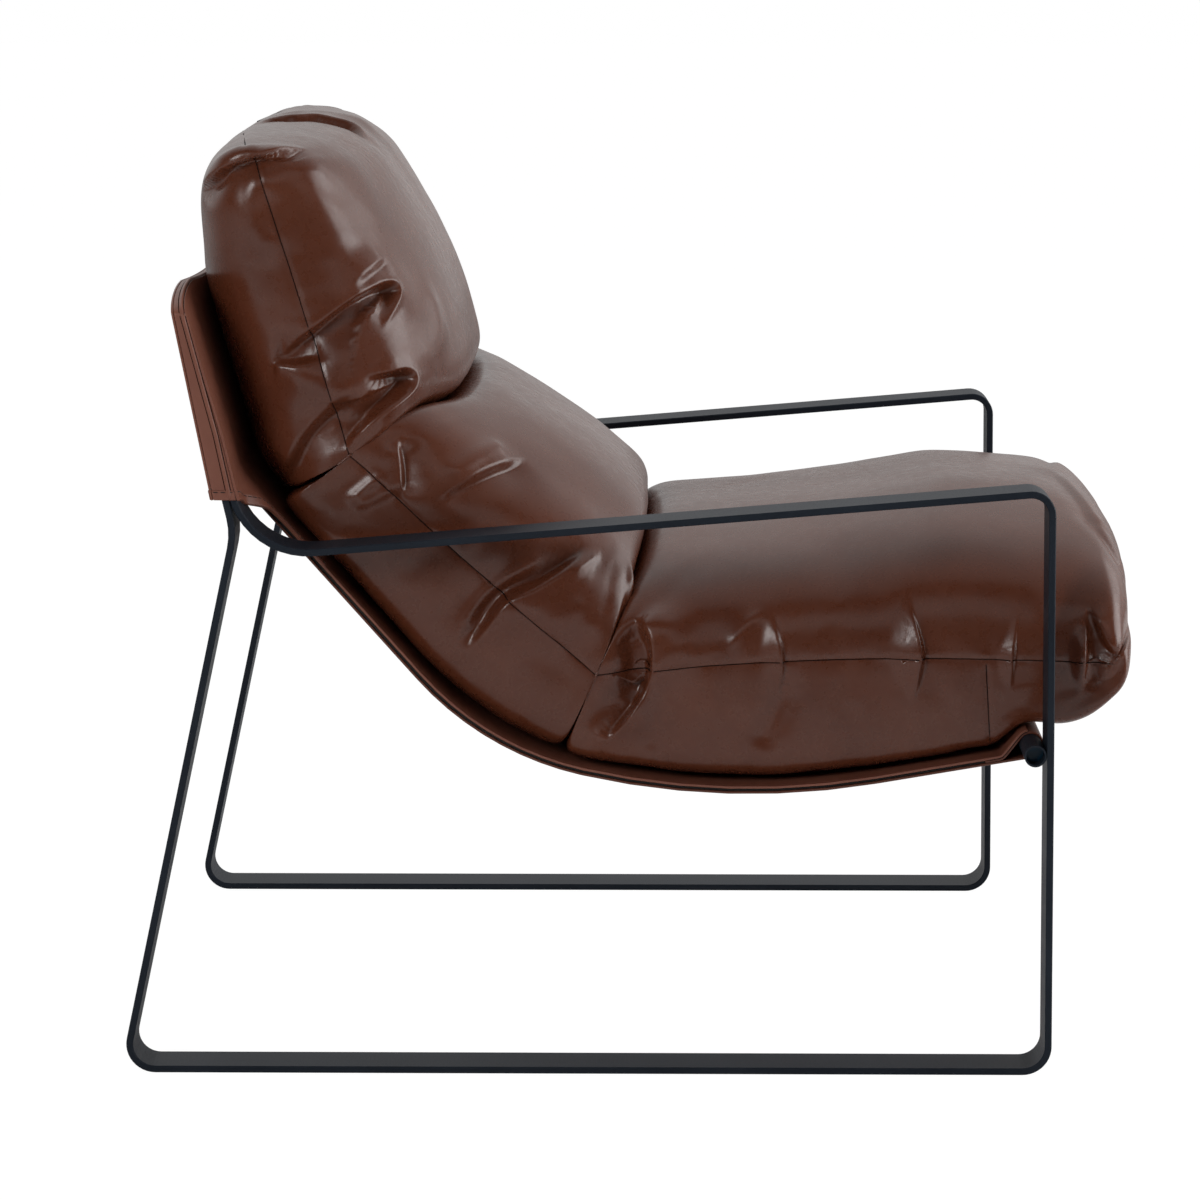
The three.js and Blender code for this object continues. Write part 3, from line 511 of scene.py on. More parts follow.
    def core_route(self) -> Route:
        """The woven carrier between the two leather panels.

        Returns:
            The middle of its cloth.
        """
        lines, corners, bends = self.layer(self.core_at)
        upright = self.inner_upright.offset(self.core_at - self.inner_at)
        top = upright.at_height(self.sleeve_bottom + self.arm_upright_rise)
        end = lines[2].step(-self.hem_run - self.hem_lap - self.gap)
        path = [top, upright.meet(lines[0]), *corners, end]
        return Route(bent_path(path, [self.sling_start_bend + self.inner_at - self.core_at, *bends]))

    def outer_route(self) -> Route:
        """The outer panel, under the seat, round the tube and back on to the sling.

        Returns:
            The middle of its leather.
        """
        lines, corners, bends = self.layer(self.outer_at)
        start = lines[0].meet(self.sleeve_rear.offset(self.leather + self.gap))
        meet = self.seat_front_angle - 90.0
        wrap = arc(self.tube, self.wrap_radius, meet, self.leave_angle - meet)
        end = self.lap.step(self.hem_lap)
        bend = rounded_corner(wrap[-1], np.array(self.lap.point), end, self.hem_bend)
        under = bent_path([start, *corners, np.array(lines[2].point)], bends)
        return Route(np.concatenate([under, wrap, bend, [end]]), spacing=3 * MM)

    def pad_face(self) -> Route:
        """The face of the sling that the pad lies on."""
        inner = self.inner_route()
        return Route(inner.points + inner.normals * (self.leather / 2 + self.gap))

    def head_crease(self) -> Line:
        """The crease between head and lumbar cushion, from the sling outwards."""
        face = self.pad_face()
        point, _ = face.at(face.find_height(self.sleeve_bottom - self.head_crease_drop))
        return Line(tuple(point), self.head_crease_angle)

    def seat_crease(self) -> Line:
        """The crease between lumbar and seat cushion, from the sling outwards."""
        face = self.pad_face()
        x = float(self.tube[0]) - self.seat_crease_from_tube
        z = float(np.interp(x, face.points[:, 0], face.points[:, 1]))
        return Line((x, z), self.seat_crease_angle)

    def head_seam_top(self) -> Line:
        """The upper end of the head cushion's side seam."""
        rear = np.array([self.pad_face().points[0, 0] - self.head_rear_bulge, self.sleeve_top + self.head_rise])
        run = np.array([self.head_top_depth, -self.head_top_fall])
        return Line(tuple(rear + self.seam_share * run - np.array([0.0, self.seam_inset])), 0.0)

    def seat_seam_front(self) -> Line:
        """The front end of the seat cushion's side seam."""
        x = self.front_foot + self.seat_overhang - (1 - self.seam_share) * self.seat_undercut - self.seam_inset
        z = float(self.tube[1]) - self.seat_drop + self.seam_share * (self.seat_rise + self.seat_drop)
        return Line((x, z), 90.0)

    def top_drop(self, y: Array) -> Array:
        """How far the sleeve's top edge lies below its highest point.

        Args:
            y: Distances from mid-width.

        Returns:
            The drop at each of them.
        """
        past = np.maximum(0.0, np.abs(y) - self.sleeve_straight) / self.sleeve_corner_run
        sag = self.sleeve_sag * np.maximum(0.0, 1.0 - (y / self.sleeve_straight) ** 2)
        return sag + self.sleeve_corner * (1.0 - np.sqrt(np.maximum(0.0, 1.0 - past**2)))


def put(name: str, data: bpy.types.ID) -> Piece:
    """Puts a new object in the scene.

    Args:
        name: Its name.
        data: Its mesh, lamp or camera.

    Returns:
        The object.
    """
    made = bpy.data.objects.new(name, data)
    bpy.context.scene.collection.objects.link(made)
    return made


# Camera at the photograph's place


@dataclass(frozen=True)
class PhotoView:
    """The photograph's camera: its place, its angles and its focal length in pixels."""

    from_tube: float = -0.3326
    nearer: float = 3.7692
    height: float = 1.0327
    yaw: float = -0.646
    pitch_down: float = 10.2
    focal_px: float = 4108.3
    image_px: float = 1200.0
    sensor_mm: float = 36.0

    @property
    def place(self) -> Vector:
        """The camera's place, along the chair from the middle of its front tube."""
        low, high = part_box("front_stretcher")
        return Vector(((low.x + high.x) / 2 + self.from_tube, -self.nearer, self.height))

    def axes(self) -> tuple[Vector, Vector, Vector]:
        """The camera's right, up and forward directions."""
        yaw, pitch = math.radians(self.yaw), math.radians(self.pitch_down)
        forward = Vector((math.sin(yaw) * math.cos(pitch), math.cos(yaw) * math.cos(pitch), -math.sin(pitch)))
        right = forward.cross(Vector((0.0, 0.0, 1.0))).normalized()
        return right, right.cross(forward), forward

    def ray(self, pixel: Corner) -> Vector:
        """The direction in which a pixel of the photograph looks.

        Args:
            pixel: The pixel, from the upper left corner.

        Returns:
            The direction, at length one.
        """
        right, up, forward = self.axes()
        half = self.image_px / 2
        across, down = (pixel[0] - half) / self.focal_px, (pixel[1] - half) / self.focal_px
        return (forward + right * across - up * down).normalized()

    def make(self) -> None:
        """Puts the camera in the scene."""
        data = bpy.data.cameras.new("photo_camera")
        data.sensor_width = self.sensor_mm
        data.lens = self.focal_px / self.image_px * self.sensor_mm
        camera = put("photo_camera", data)
        camera.location = self.place
        camera.rotation_mode = "QUATERNION"
        camera.rotation_quaternion = self.axes()[2].to_track_quat("-Z", "Y")
        bpy.context.scene.camera = camera


# Finishes


class NodeTree:
    """A material's or world's nodes, added and joined by name."""

    def __init__(self, tree: bpy.types.NodeTree) -> None:
        """Starts from an empty tree.

        Args:
            tree: The tree to fill.
        """
        self.tree = tree
        tree.nodes.clear()

    def add(self, kind: str, settings: dict | None = None, **inputs: object) -> bpy.types.Node:
        """Adds a node.

        Args:
            kind: The node's type.
            settings: Its own settings.
            **inputs: Its inputs by name, with _ for a space: a value, or a socket to join.

        Returns:
            The node.
        """
        node = self.tree.nodes.new(kind)
        for name, value in (settings or {}).items():
            setattr(node, name, value)
        for name, value in inputs.items():
            socket = node.inputs[name.replace("_", " ")]
            if isinstance(value, Socket):
                self.tree.links.new(value, socket)
            else:
                socket.default_value = value
        return node

    def ramp(self, factor: Socket, low: float, high: float, start: float, end: float) -> Socket:
        """Maps a factor's range on to another one.

        Args:
            factor: The factor.
            low: Where the range starts.
            high: Where it ends.
            start: The value at its start.
            end: The value at its end.

        Returns:
            The mapped value.
        """
        ends = {"From_Min": low, "From_Max": high, "To_Min": start, "To_Max": end}
        return self.add("ShaderNodeMapRange", Value=factor, **ends).outputs["Result"]

    def combine(self, operation: str, first: Socket, second: Socket) -> Socket:
        """Works one value out of two.

        Args:
            operation: What is done with them.
            first: The first value.
            second: The second value.

        Returns:
            The new value.
        """
        node = self.add("ShaderNodeMath", {"operation": operation}, Value=first)
        self.tree.links.new(second, node.inputs[1])
        return node.outputs["Value"]

    def bump(self, height: Socket, strength: float, depth: float) -> Socket:
        """Turns a height into a normal.

        Args:
            height: The height.
            strength: How much of it shows.
            depth: Its size in metres.

        Returns:
            The normal.
        """
        return self.add("ShaderNodeBump", Strength=strength, Distance=depth, Height=height).outputs["Normal"]

    def blend(self, factor: Socket, first: Socket, second: Socket) -> Socket:
        """Mixes two shaders.

        Args:
            factor: The share of the second one.
            first: The first shader.
            second: The second shader.

        Returns:
            The mixed shader.
        """
        node = self.add("ShaderNodeMixShader", Fac=factor)
        self.tree.links.new(first, node.inputs[1])
        self.tree.links.new(second, node.inputs[2])
        return node.outputs["Shader"]

    def mix(self, factor: Socket, first: Colour, second: Colour) -> Socket:
        """Mixes two colours.

        Args:
            factor: The share of the second one.
            first: The first colour.
            second: The second colour.

        Returns:
            The mixed colour.
        """
        node = self.tree.nodes.new("ShaderNodeMix")
        node.data_type = "RGBA"
        self.tree.links.new(factor, node.inputs["Factor"])
        node.inputs["A"].default_value = (*first, 1.0)
        node.inputs["B"].default_value = (*second, 1.0)
        return node.outputs["Result"]


def new_material(name: str) -> tuple[Material, NodeTree]:
    """An empty node material.

    Args:
        name: Its name.

    Returns:
        The material and its nodes.
    """
    material = bpy.data.materials.new(name)
    material.use_nodes = True
    return material, NodeTree(material.node_tree)


@dataclass(frozen=True)
class LeatherFinish:
    """Smooth coated leather: mottled colour, fine pores and a soft gloss."""

    name: str
    deep: Colour
    worn: Colour
    roughness: float
    pore: float = 1.5 * MM
    pore_depth: float = 0.25
    pore_height: float = 0.12
    mottle: float = 70 * MM
    coat: float = 0.06
    coat_roughness: float = 0.2
    shine: float = 0.42

    def make(self) -> Material:
        """Makes the material.

        Returns:
            The material.
        """
        material, nodes = new_material(self.name)
        where = nodes.add("ShaderNodeTexCoord").outputs["Object"]
        cloud = nodes.add("ShaderNodeTexNoise", Vector=where, Scale=1 / self.mottle, Detail=5.0, Roughness=0.55)
        fine = nodes.add("ShaderNodeTexNoise", Vector=where, Scale=9 / self.mottle, Detail=3.0)
        pores = nodes.add("ShaderNodeTexVoronoi", Vector=where, Scale=1 / self.pore, Randomness=1.0)
        pebble = nodes.add("ShaderNodeTexNoise", Vector=where, Scale=0.4 / self.pore, Detail=2.0)
        grain = nodes.ramp(pores.outputs["Distance"], 0.0, 0.7, 1.0, 0.0)
        height = nodes.combine("MULTIPLY", grain, nodes.ramp(pebble.outputs["Fac"], 0.35, 0.65, 0.3, 1.0))
        wear = nodes.ramp(cloud.outputs["Fac"], 0.3, 0.7, 0.0, 1.0)
        shader = nodes.add(
            "ShaderNodeBsdfPrincipled",
            Base_Color=nodes.mix(wear, self.deep, self.worn),
            Roughness=nodes.ramp(fine.outputs["Fac"], 0.3, 0.7, self.roughness - 0.03, self.roughness + 0.04),
            Normal=nodes.bump(height, self.pore_depth, self.pore_height * self.pore),
            Specular_IOR_Level=self.shine,
            Coat_Weight=self.coat,
            Coat_Roughness=self.coat_roughness,
        )
        nodes.add("ShaderNodeOutputMaterial", Surface=shader.outputs["BSDF"])
        return material


@dataclass(frozen=True)
class CoatFinish:
    """Powder coat on steel: a fine orange-peel grain, a little paler in worn patches. On the tube's nylon
    inserts both colours are blue, a painted glint over the dark nylon.
    """

    name: str
    paint_and_glint: Colour
    rubbed_and_glint: Colour
    roughness: float
    grain: float = 1.2 * MM
    grain_depth: float = 0.2
    grain_height: float = 0.1
    wear_and_glint_scale: float = 14.0
    shine: float = 0.14

    def make(self) -> Material:
        """Makes the material.

        Returns:
            The material.
        """
        material, nodes = new_material(self.name)
        where = nodes.add("ShaderNodeTexCoord").outputs["Object"]
        grain = nodes.add("ShaderNodeTexNoise", Vector=where, Scale=1 / self.grain, Detail=2.0)
        cloud = nodes.add("ShaderNodeTexNoise", Vector=where, Scale=self.wear_and_glint_scale, Detail=4.0)
        # On the nylon inserts this mask mixes two blues of painted glint.
        wear = nodes.ramp(cloud.outputs["Fac"], 0.35, 0.7, 0.0, 1.0)
        shader = nodes.add(
            "ShaderNodeBsdfPrincipled",
            Base_Color=nodes.mix(wear, self.paint_and_glint, self.rubbed_and_glint),
            Roughness=nodes.ramp(grain.outputs["Fac"], 0.3, 0.7, self.roughness - 0.05, self.roughness + 0.05),
            Normal=nodes.bump(grain.outputs["Fac"], self.grain_depth, self.grain_height * self.grain),
            Specular_IOR_Level=self.shine,
        )
        nodes.add("ShaderNodeOutputMaterial", Surface=shader.outputs["BSDF"])
        return material


@dataclass(frozen=True)
class WovenFinish:
    """Plain woven cloth, by two crossing waves."""

    name: str
    thread: Colour
    shade: Colour
    pitch: float = 0.8 * MM
    wander: float = 0.6
    thread_depth: float = 0.6
    thread_height: float = 0.3
    roughness: float = 0.9
    sheen: float = 0.2

    def make(self) -> Material:
        """Makes the material.

        Returns:
            The material.
        """
        material, nodes = new_material(self.name)
        where = nodes.add("ShaderNodeTexCoord").outputs["Object"]
        bands = {"Vector": where, "Scale": 0.3 / self.pitch, "Distortion": self.wander}
        waves = [
            nodes.add("ShaderNodeTexWave", {"bands_direction": axis}, **bands).outputs["Fac"]
            for axis in ("X", "Y")
        ]
        weave = nodes.combine("MULTIPLY", *waves)
        shader = nodes.add(
            "ShaderNodeBsdfPrincipled",
            Base_Color=nodes.mix(weave, self.shade, self.thread),
            Roughness=self.roughness,
            Normal=nodes.bump(weave, self.thread_depth, self.thread_height * self.pitch),
            Sheen_Weight=self.sheen,
        )
        nodes.add("ShaderNodeOutputMaterial", Surface=shader.outputs["BSDF"])
        return material


PAD_LEATHER = LeatherFinish(
    "pad_leather", (0.09, 0.023, 0.0095), (0.117, 0.0325, 0.0145), roughness=0.28, pore_depth=0.08, shine=0.45
)
# Painted light: the sling's leather is about twice as bright as the pad's. This lifts the sleeve and the
# sling's top out of the shade that the pad casts on them.
SLING_LEATHER = LeatherFinish(
    "sling_leather", (0.19, 0.064, 0.039), (0.23, 0.083, 0.053), roughness=0.38, coat=0.0
)
# Painted shade: the sling's outer panel is the same leather as its inner one, made darker because it lies in
# the sling's own shadow underneath.
SHADED_UNDERSIDE = LeatherFinish(
    "shaded_sling_underside", (0.11, 0.034, 0.019), (0.135, 0.044, 0.026), roughness=0.4, coat=0.0
)
# Painted shade: a near-black leather for thin tubes laid in the grooves beside the welt and along the hem,
# where only shade darkens the leather. In the cushions' seams it stands for the dark joint itself, with the
# shade in its crevice painted in.
PAINTED_SEAM_SHADE = LeatherFinish(
    "painted_seam_shade", (0.012, 0.005, 0.004), (0.018, 0.007, 0.005), roughness=0.8, coat=0.0, shine=0.05
)
THREAD = WovenFinish("thread", (0.05, 0.022, 0.016), (0.03, 0.013, 0.01), pitch=0.3 * MM)
CARRIER = WovenFinish("carrier_cloth", (0.03, 0.022, 0.018), (0.012, 0.009, 0.008))
COAT = CoatFinish("powder_coat", (0.0125, 0.017, 0.025), (0.017, 0.0225, 0.032), roughness=0.46)
# Painted glint: the tube's dark nylon inserts coloured blue, for the bluish reflection inside the tube's ends.
NYLON_AND_GLINT = CoatFinish("insert_nylon", (0.006, 0.03, 0.06), (0.01, 0.05, 0.09), roughness=0.18)


class Palette:
    """Makes each finish once."""

    def __init__(self) -> None:
        """Starts with nothing made."""
        self.made: dict[str, Material] = {}

    def __call__(self, finish: LeatherFinish | CoatFinish | WovenFinish) -> Material:
        """The finish's material."""
        if finish.name not in self.made:
            self.made[finish.name] = finish.make()
        return self.made[finish.name]


# Meshes


def mesh_object(name: str, points: Array, faces: list, material: Material) -> Piece:
    """A smooth-shaded mesh object that rides on the chair.

    Args:
        name: The piece's name.
        points: Its points, one per row.
        faces: Its faces, by point number.
        material: Its finish.

    Returns:
        The object.
    """
    mesh = bpy.data.meshes.new(name)
    mesh.from_pydata(points.tolist(), [], faces)
    mesh.shade_smooth()
    mesh.materials.append(material)
    piece = put(name, mesh)
    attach(piece, BODY)
    return piece


def grid_faces(rows: int, columns: int, ring: bool = False) -> list[tuple[int, int, int, int]]:
    """The faces of a grid of points.

    Args:
        rows: Its rows.
        columns: The points in each row.
        ring: Whether each row closes on itself.

    Returns:
        The faces, by point number.
    """
    last = columns if ring else columns - 1
    faces = []
    for row in range(rows - 1):
        here, there = row * columns, (row + 1) * columns
        for column in range(last):
            onward = (column + 1) % columns
            faces.append((here + column, here + onward, there + onward, there + column))
    return faces


def grid_normals(grid: Array) -> Array:
    """The unit normals of a grid of points, rows by columns."""
    return unit(np.cross(np.gradient(grid, axis=0), np.gradient(grid, axis=1)))


def soften(piece: Piece, width: float, sharp: float = 50.0) -> None:
    """Rounds a piece's sharp edges.

    Args:
        piece: The piece.
        width: The width of the rounding.
        sharp: The angle from which an edge is rounded, in degrees.
    """
    bevel = piece.modifiers.new("rounded_edges", "BEVEL")
    bevel.width = width
    bevel.segments = 2
    bevel.limit_method = "ANGLE"
    bevel.angle_limit = math.radians(sharp)
    piece.modifiers.new("even_shading", "WEIGHTED_NORMAL")


def sheet(name: str, grid: Array, thickness: float, material: Material) -> Piece:
    """A closed sheet of even thickness about a grid of points.

    Args:
        name: The piece's name.
        grid: Points of its middle, rows by columns.
        thickness: Its thickness.
        material: Its finish.

    Returns:
        The piece.
    """
    rows, columns = grid.shape[:2]
    half = grid_normals(grid) * thickness / 2
    ring = np.concatenate([grid + half, (grid - half)[:, ::-1]], axis=1)
    around = 2 * columns
    faces = grid_faces(rows, around, ring=True)
    end = (rows - 1) * around
    for c in range(columns - 1):
        faces.append((c + 1, c, around - 1 - c, around - 2 - c))
        faces.append((end + c, end + c + 1, end + around - 2 - c, end + around - 1 - c))
    piece = mesh_object(name, ring.reshape(-1, 3), [face[::-1] for face in faces], material)
    soften(piece, thickness * EDGE_SHARE)
    return piece


def tube(name: str, path: Array, radius: float, material: Material, sides: int = 8) -> Piece:
    """A round bead along a path, closed at its ends.

    Args:
        name: The piece's name.
        path: Its middle line, one point per row.
        radius: Its radius.
        material: Its finish.
        sides: The sides of its section.

    Returns:
        The piece.
    """
    points, faces = bead(path, radius, sides)
    return mesh_object(name, points, faces, material)


def bead(path: Array, radius: float, sides: int) -> tuple[Array, list]:
    """Points and faces of a round bead with drawn-in ends.

    Args:
        path: Its middle line, one point per row.
        radius: Its radius.
        sides: The sides of its section.

    Returns:
        The points and the faces.
    """
    ahead = unit(np.gradient(path, axis=0))
    hint = np.where(np.abs(ahead[:, 2:]) > 0.9, [[1.0, 0.0, 0.0]], [[0.0, 0.0, 1.0]])
    across = unit(np.cross(ahead, hint))
    up = np.cross(across, ahead)
    turn = np.linspace(0.0, 2 * math.pi, sides, endpoint=False)
    section = across[:, None] * np.cos(turn)[None, :, None] + up[:, None] * np.sin(turn)[None, :, None]
    radii = np.full(len(path), radius)
    radii[[0, -1]] *= BEAD_END
    points = (path[:, None] + section * radii[:, None, None]).reshape(-1, 3)
    faces = grid_faces(len(path), sides, ring=True)
    last = (len(path) - 1) * sides
    faces.append(tuple(reversed(range(sides))))
    faces.append(tuple(range(last, last + sides)))
    return points, faces


@dataclass(frozen=True)
class Stitching:
    """A row of stitches, each a short thread between two holes."""

    length: float = 4.2 * MM
    gap: float = 1.3 * MM
    radius: float = 0.45 * MM
    sides: int = 6
    steps: tuple[float, ...] = (0.0, 0.15, 0.5, 0.85, 1.0)

    def row(self, name: str, path: Array, material: Material) -> Piece:
        """Sews along a path.

        Args:
            name: The piece's name.
            path: The path on the leather, one point per row.
            material: The thread's finish.

        Returns:
            The stitches, as one piece.
        """
        along = lengths_along(path)
        count = int(along[-1] // (self.length + self.gap))
        points: list[Array] = []
        faces: list[tuple[int, ...]] = []
        for k in range(count):
            start = (k + 0.5) * along[-1] / count - self.length / 2
            places = start + self.length * np.array(self.steps)
            line = np.stack([np.interp(places, along, path[:, axis]) for axis in range(3)], axis=1)
            stitch, closed = bead(line, self.radius, self.sides)
            base = k * len(stitch)
            points.append(stitch)
            faces.extend(tuple(base + i for i in face) for face in closed)
        return mesh_object(name, np.concatenate(points), faces, material)


# The sling and its sleeve


class Side(Enum):
    """The two sides of the chair, by the sign of Y."""

    RIGHT = -1
    LEFT = 1


@dataclass
class Sling:
    """The leather sling: sleeve, two panels, the carrier between them and their sewing."""

    view: SideView
    palette: Palette
    stitching: Stitching = field(default_factory=Stitching)
    stitch_inset: float = 7 * MM
    hem_band: float = 8.5 * MM
    band_rise: float = 0.7 * MM
    band_run: float = 40 * MM
    welt: float = 1.9 * MM
    # The radius of the thin tubes of painted shade beside the welt and along the hem.
    shade: float = 0.35 * MM
    welt_back: tuple[float, float] = (6 * MM, 1.5 * MM)
    columns: int = 41
    top_ease: float = 70 * MM
    core_inset: float = 2 * MM
    row_gap: float = 1.2 * MM
    sew_step: float = 1.5 * MM
    welt_step: float = 4 * MM

    def __post_init__(self) -> None:
        """Works out the inner panel's routes and the lines of a sewn band once."""
        self.route = self.view.inner_route()
        self.side = self.view.side_route()
        self.sleeve_end = self.side.find_height(self.view.sleeve_bottom)
        self.band_lines = (0.4 * MM, 2 * MM, 0.7 * self.hem_band, self.hem_band)

    def build(self) -> None:
        """Makes every piece of the sling."""
        self.make_inner()
        self.make_core()
        self.make_outer()
        self.make_rear()
        self.make_boxing()

    def half_at(self, distance: Array) -> Array:
        """Half the inner panel's width at distances from its top."""
        view = self.view
        share = np.clip((self.sleeve_end + view.cutout_length - distance) / view.cutout_length, 0, 1)
        return view.sling_half + (view.sleeve_half - view.sling_half) * (1 - np.sqrt(1 - share**2))

    def inner_place(self, distance: Array, y: Array) -> Array:
        """Places on the middle of the inner panel.

        Args:
            distance: Distances from its top.
            y: Distances from mid-width.

        Returns:
            The places, along a new last axis.
        """
        view = self.view
        shifted = distance + view.top_drop(y) * np.maximum(0, 1 - distance / self.top_ease)
        middle, _ = self.route.at(shifted)
        edge, _ = self.side.at(np.minimum(shifted, self.side.length))
        on_bar = smoothstep(np.abs(y), view.sling_half + 2 * view.sling_side_gap, view.bar_y)[..., None]
        place = middle * (1 - on_bar) + edge * on_bar
        return spots(place[..., 0], y, place[..., 1])

    def cutout_line(self, inset: float, rise: float, side: Side) -> Array:
        """A line along the sleeve's lower front edge and the cut-out beside the arm.

        Args:
            inset: Its distance from the edge.
            rise: Its height over the leather.
            side: The side of the chair.

        Returns:
            Its points, one per row.
        """
        view = self.view
        turn = np.radians(np.linspace(90, 0, 28))
        size = np.array([view.cutout_length, view.sleeve_half - view.sling_half])
        corner = np.array([self.sleeve_end + view.cutout_length, view.sleeve_half])
        bow = np.stack([np.sin(turn), np.cos(turn)], axis=1)
        curve = corner - size * bow - inset * unit(bow / size)
        down = np.linspace(0.15, 1, 8) * self.band_run
        straight = np.stack([corner[0] + down, np.full(len(down), view.sling_half - inset)], axis=1)
        distance, y = np.concatenate([curve, straight]).T
        y = y * side.value
        small = 0.5 * MM
        ahead = self.inner_place(distance + small, y) - self.inner_place(distance - small, y)
        across = self.inner_place(distance, y + small) - self.inner_place(distance, y - small)
        return self.inner_place(distance, y) + unit(np.cross(ahead, across)) * (view.leather / 2 + rise)

    def band(self, name: str, lines: list[Array]) -> Piece:
        """A sewn edge band.

        Args:
            name: The piece's name.
            lines: The lines beside each other that it runs through.

        Returns:
            The band.
        """
        piece = sheet(name, np.stack(lines, axis=1), self.band_rise, self.palette(SLING_LEATHER))
        return piece

    def sew(self, name: str, line: Array) -> Piece:
        """A row of stitches.

        Args:
            name: The piece's name.
            line: The line that is sewn along.

        Returns:
            The stitches.
        """
        piece = self.stitching.row(name, resampled(line, self.sew_step), self.palette(THREAD))
        return piece

    def shaded(self, name: str, line: Array) -> Piece:
        """A thin dark tube of painted shade, in the groove where two leathers meet.

        Args:
            name: The piece's name.
            line: Where they meet.

        Returns:
            The dark line.
        """
        piece = tube(name, line, self.shade, self.palette(PAINTED_SEAM_SHADE))
        return piece

    def make_inner(self) -> None:
        """The sleeve's front and the sling under the pad, with its sewn edge bands and lines of painted shade
        along the hem.
        """
        view = self.view
        rows = self.route.distances
        cut = np.linspace(self.sleeve_end, self.sleeve_end + view.cutout_length, 20)
        apart = np.abs(rows[:, None] - cut).min(axis=1) > self.row_gap
        rows = np.unique(np.concatenate([rows[apart], cut]))
        half = self.half_at(rows)
        across = np.sin(np.linspace(-1, 1, self.columns) * math.pi / 2)
        grid = self.inner_place(np.repeat(rows[:, None], self.columns, axis=1), half[:, None] * across)
        piece = sheet("sling_inner", grid, view.leather, self.palette(SLING_LEATHER))
        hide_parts("sling_inner_panel")
        for side in Side:
            lines = [self.cutout_line(inset, 0.5 * self.band_rise, side) for inset in self.band_lines]
            self.band(f"cutout_band_{side.name.lower()}", lines)
            sewn = self.cutout_line(self.stitch_inset, self.band_rise, side)
            self.sew(f"cutout_stitches_{side.name.lower()}", sewn)
        # Painted shade: a thin dark tube along each side edge of the sling's front, in the groove between its
        # inner panel and the layer below.
        below = self.route.points - self.route.normals * (view.leather + view.gap) / 2
        below = below[below[:, 0] > view.lap.step(view.hem_lap)[0]]
        for side in Side:
            line = np.insert(below, 1, side.value * view.sling_half, axis=1)
            self.shaded(f"hem_shade_{side.name.lower()}", line)

    def ribbon(self, route: Route, half: float) -> Array:
        """A grid of one width along a route.

        Args:
            route: The route.
            half: Half the width.

        Returns:
            The grid, rows by columns.
        """
        y = np.linspace(-half, half, self.columns)
        return spots(route.points[:, :1], y, route.points[:, 1:])

    def make_core(self) -> None:
        """The woven carrier between the panels."""
        route = self.view.core_route()
        half = self.view.sling_half - self.core_inset
        piece = sheet("sling_core", self.ribbon(route, half), self.view.core, self.palette(CARRIER))
        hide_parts("sling_carrier")
        LOG.info("sling_core: %.3f m long", route.length)

    def make_outer(self) -> None:
        """The sling's underside and its hem round the tube, in the sling's leather darkened as painted shade.
        """
        view = self.view
        route = view.outer_route()
        half = view.sling_half
        piece = sheet("sling_outer", self.ribbon(route, half), view.leather, self.palette(SHADED_UNDERSIDE))
        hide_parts("sling_outer_panel")
        under = route.points - route.normals * view.leather / 2
        below = under[2 : int(np.argmax(under[:, 0] > view.tube[0] - view.tube_radius))]
        for side in Side:
            line = spots(below[:, 0], side.value * (half - self.stitch_inset), below[:, 1])
            self.sew(f"sling_stitches_{side.name.lower()}", line)
        lap = view.lap.step(view.hem_lap / 2)
        z = float(np.interp(lap[0], below[:, 0], below[:, 1]))
        ends = [(lap[0], y, z) for y in (-half + self.stitch_inset, half - self.stitch_inset)]
        self.sew("hem_stitches", np.array(ends))
        LOG.info("sling_outer: %.3f m long", route.length)

    def make_rear(self) -> None:
        """The back of the sleeve."""
        view = self.view
        line = view.sleeve_rear
        height = (view.sleeve_top - view.sleeve_bottom) / abs(line.along[1])
        rows = np.linspace(0, height, 40)
        y = view.sleeve_half * np.sin(np.linspace(-1, 1, self.columns) * math.pi / 2)
        shifted = rows[:, None] + view.top_drop(y) * np.maximum(0, 1 - rows[:, None] / self.top_ease)
        start = line.at_height(view.sleeve_top)
        grid = spots(start[0] + line.along[0] * shifted, y, start[1] + line.along[1] * shifted)
        piece = sheet("sleeve_rear", grid, view.leather, self.palette(SLING_LEATHER))
        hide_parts("sleeve_rear_panel")
        wide = np.linspace(-view.sleeve_half, view.sleeve_half, self.columns)
        lines = [self.rear_line(wide, rise, 0.5 * self.band_rise) for rise in self.band_lines]
        extras = [self.band("rear_band", lines)]
        extras.append(self.sew("rear_stitches", self.rear_line(wide, self.stitch_inset, self.band_rise)))
        LOG.info("sleeve_rear: %.3f m high", height)

    def rear_line(self, y: Array, rise: float, proud: float) -> Array:
        """A line across the sleeve's rear face.

        Args:
            y: Distances from mid-width.
            rise: Its height over the sleeve's lower edge.
            proud: Its distance from the leather.

        Returns:
            Its points, one per row.
        """
        view = self.view
        face = view.sleeve_rear.offset(-view.leather / 2 - proud)
        x, z = face.at_height(view.sleeve_bottom + rise)
        return spots(x, y, z)

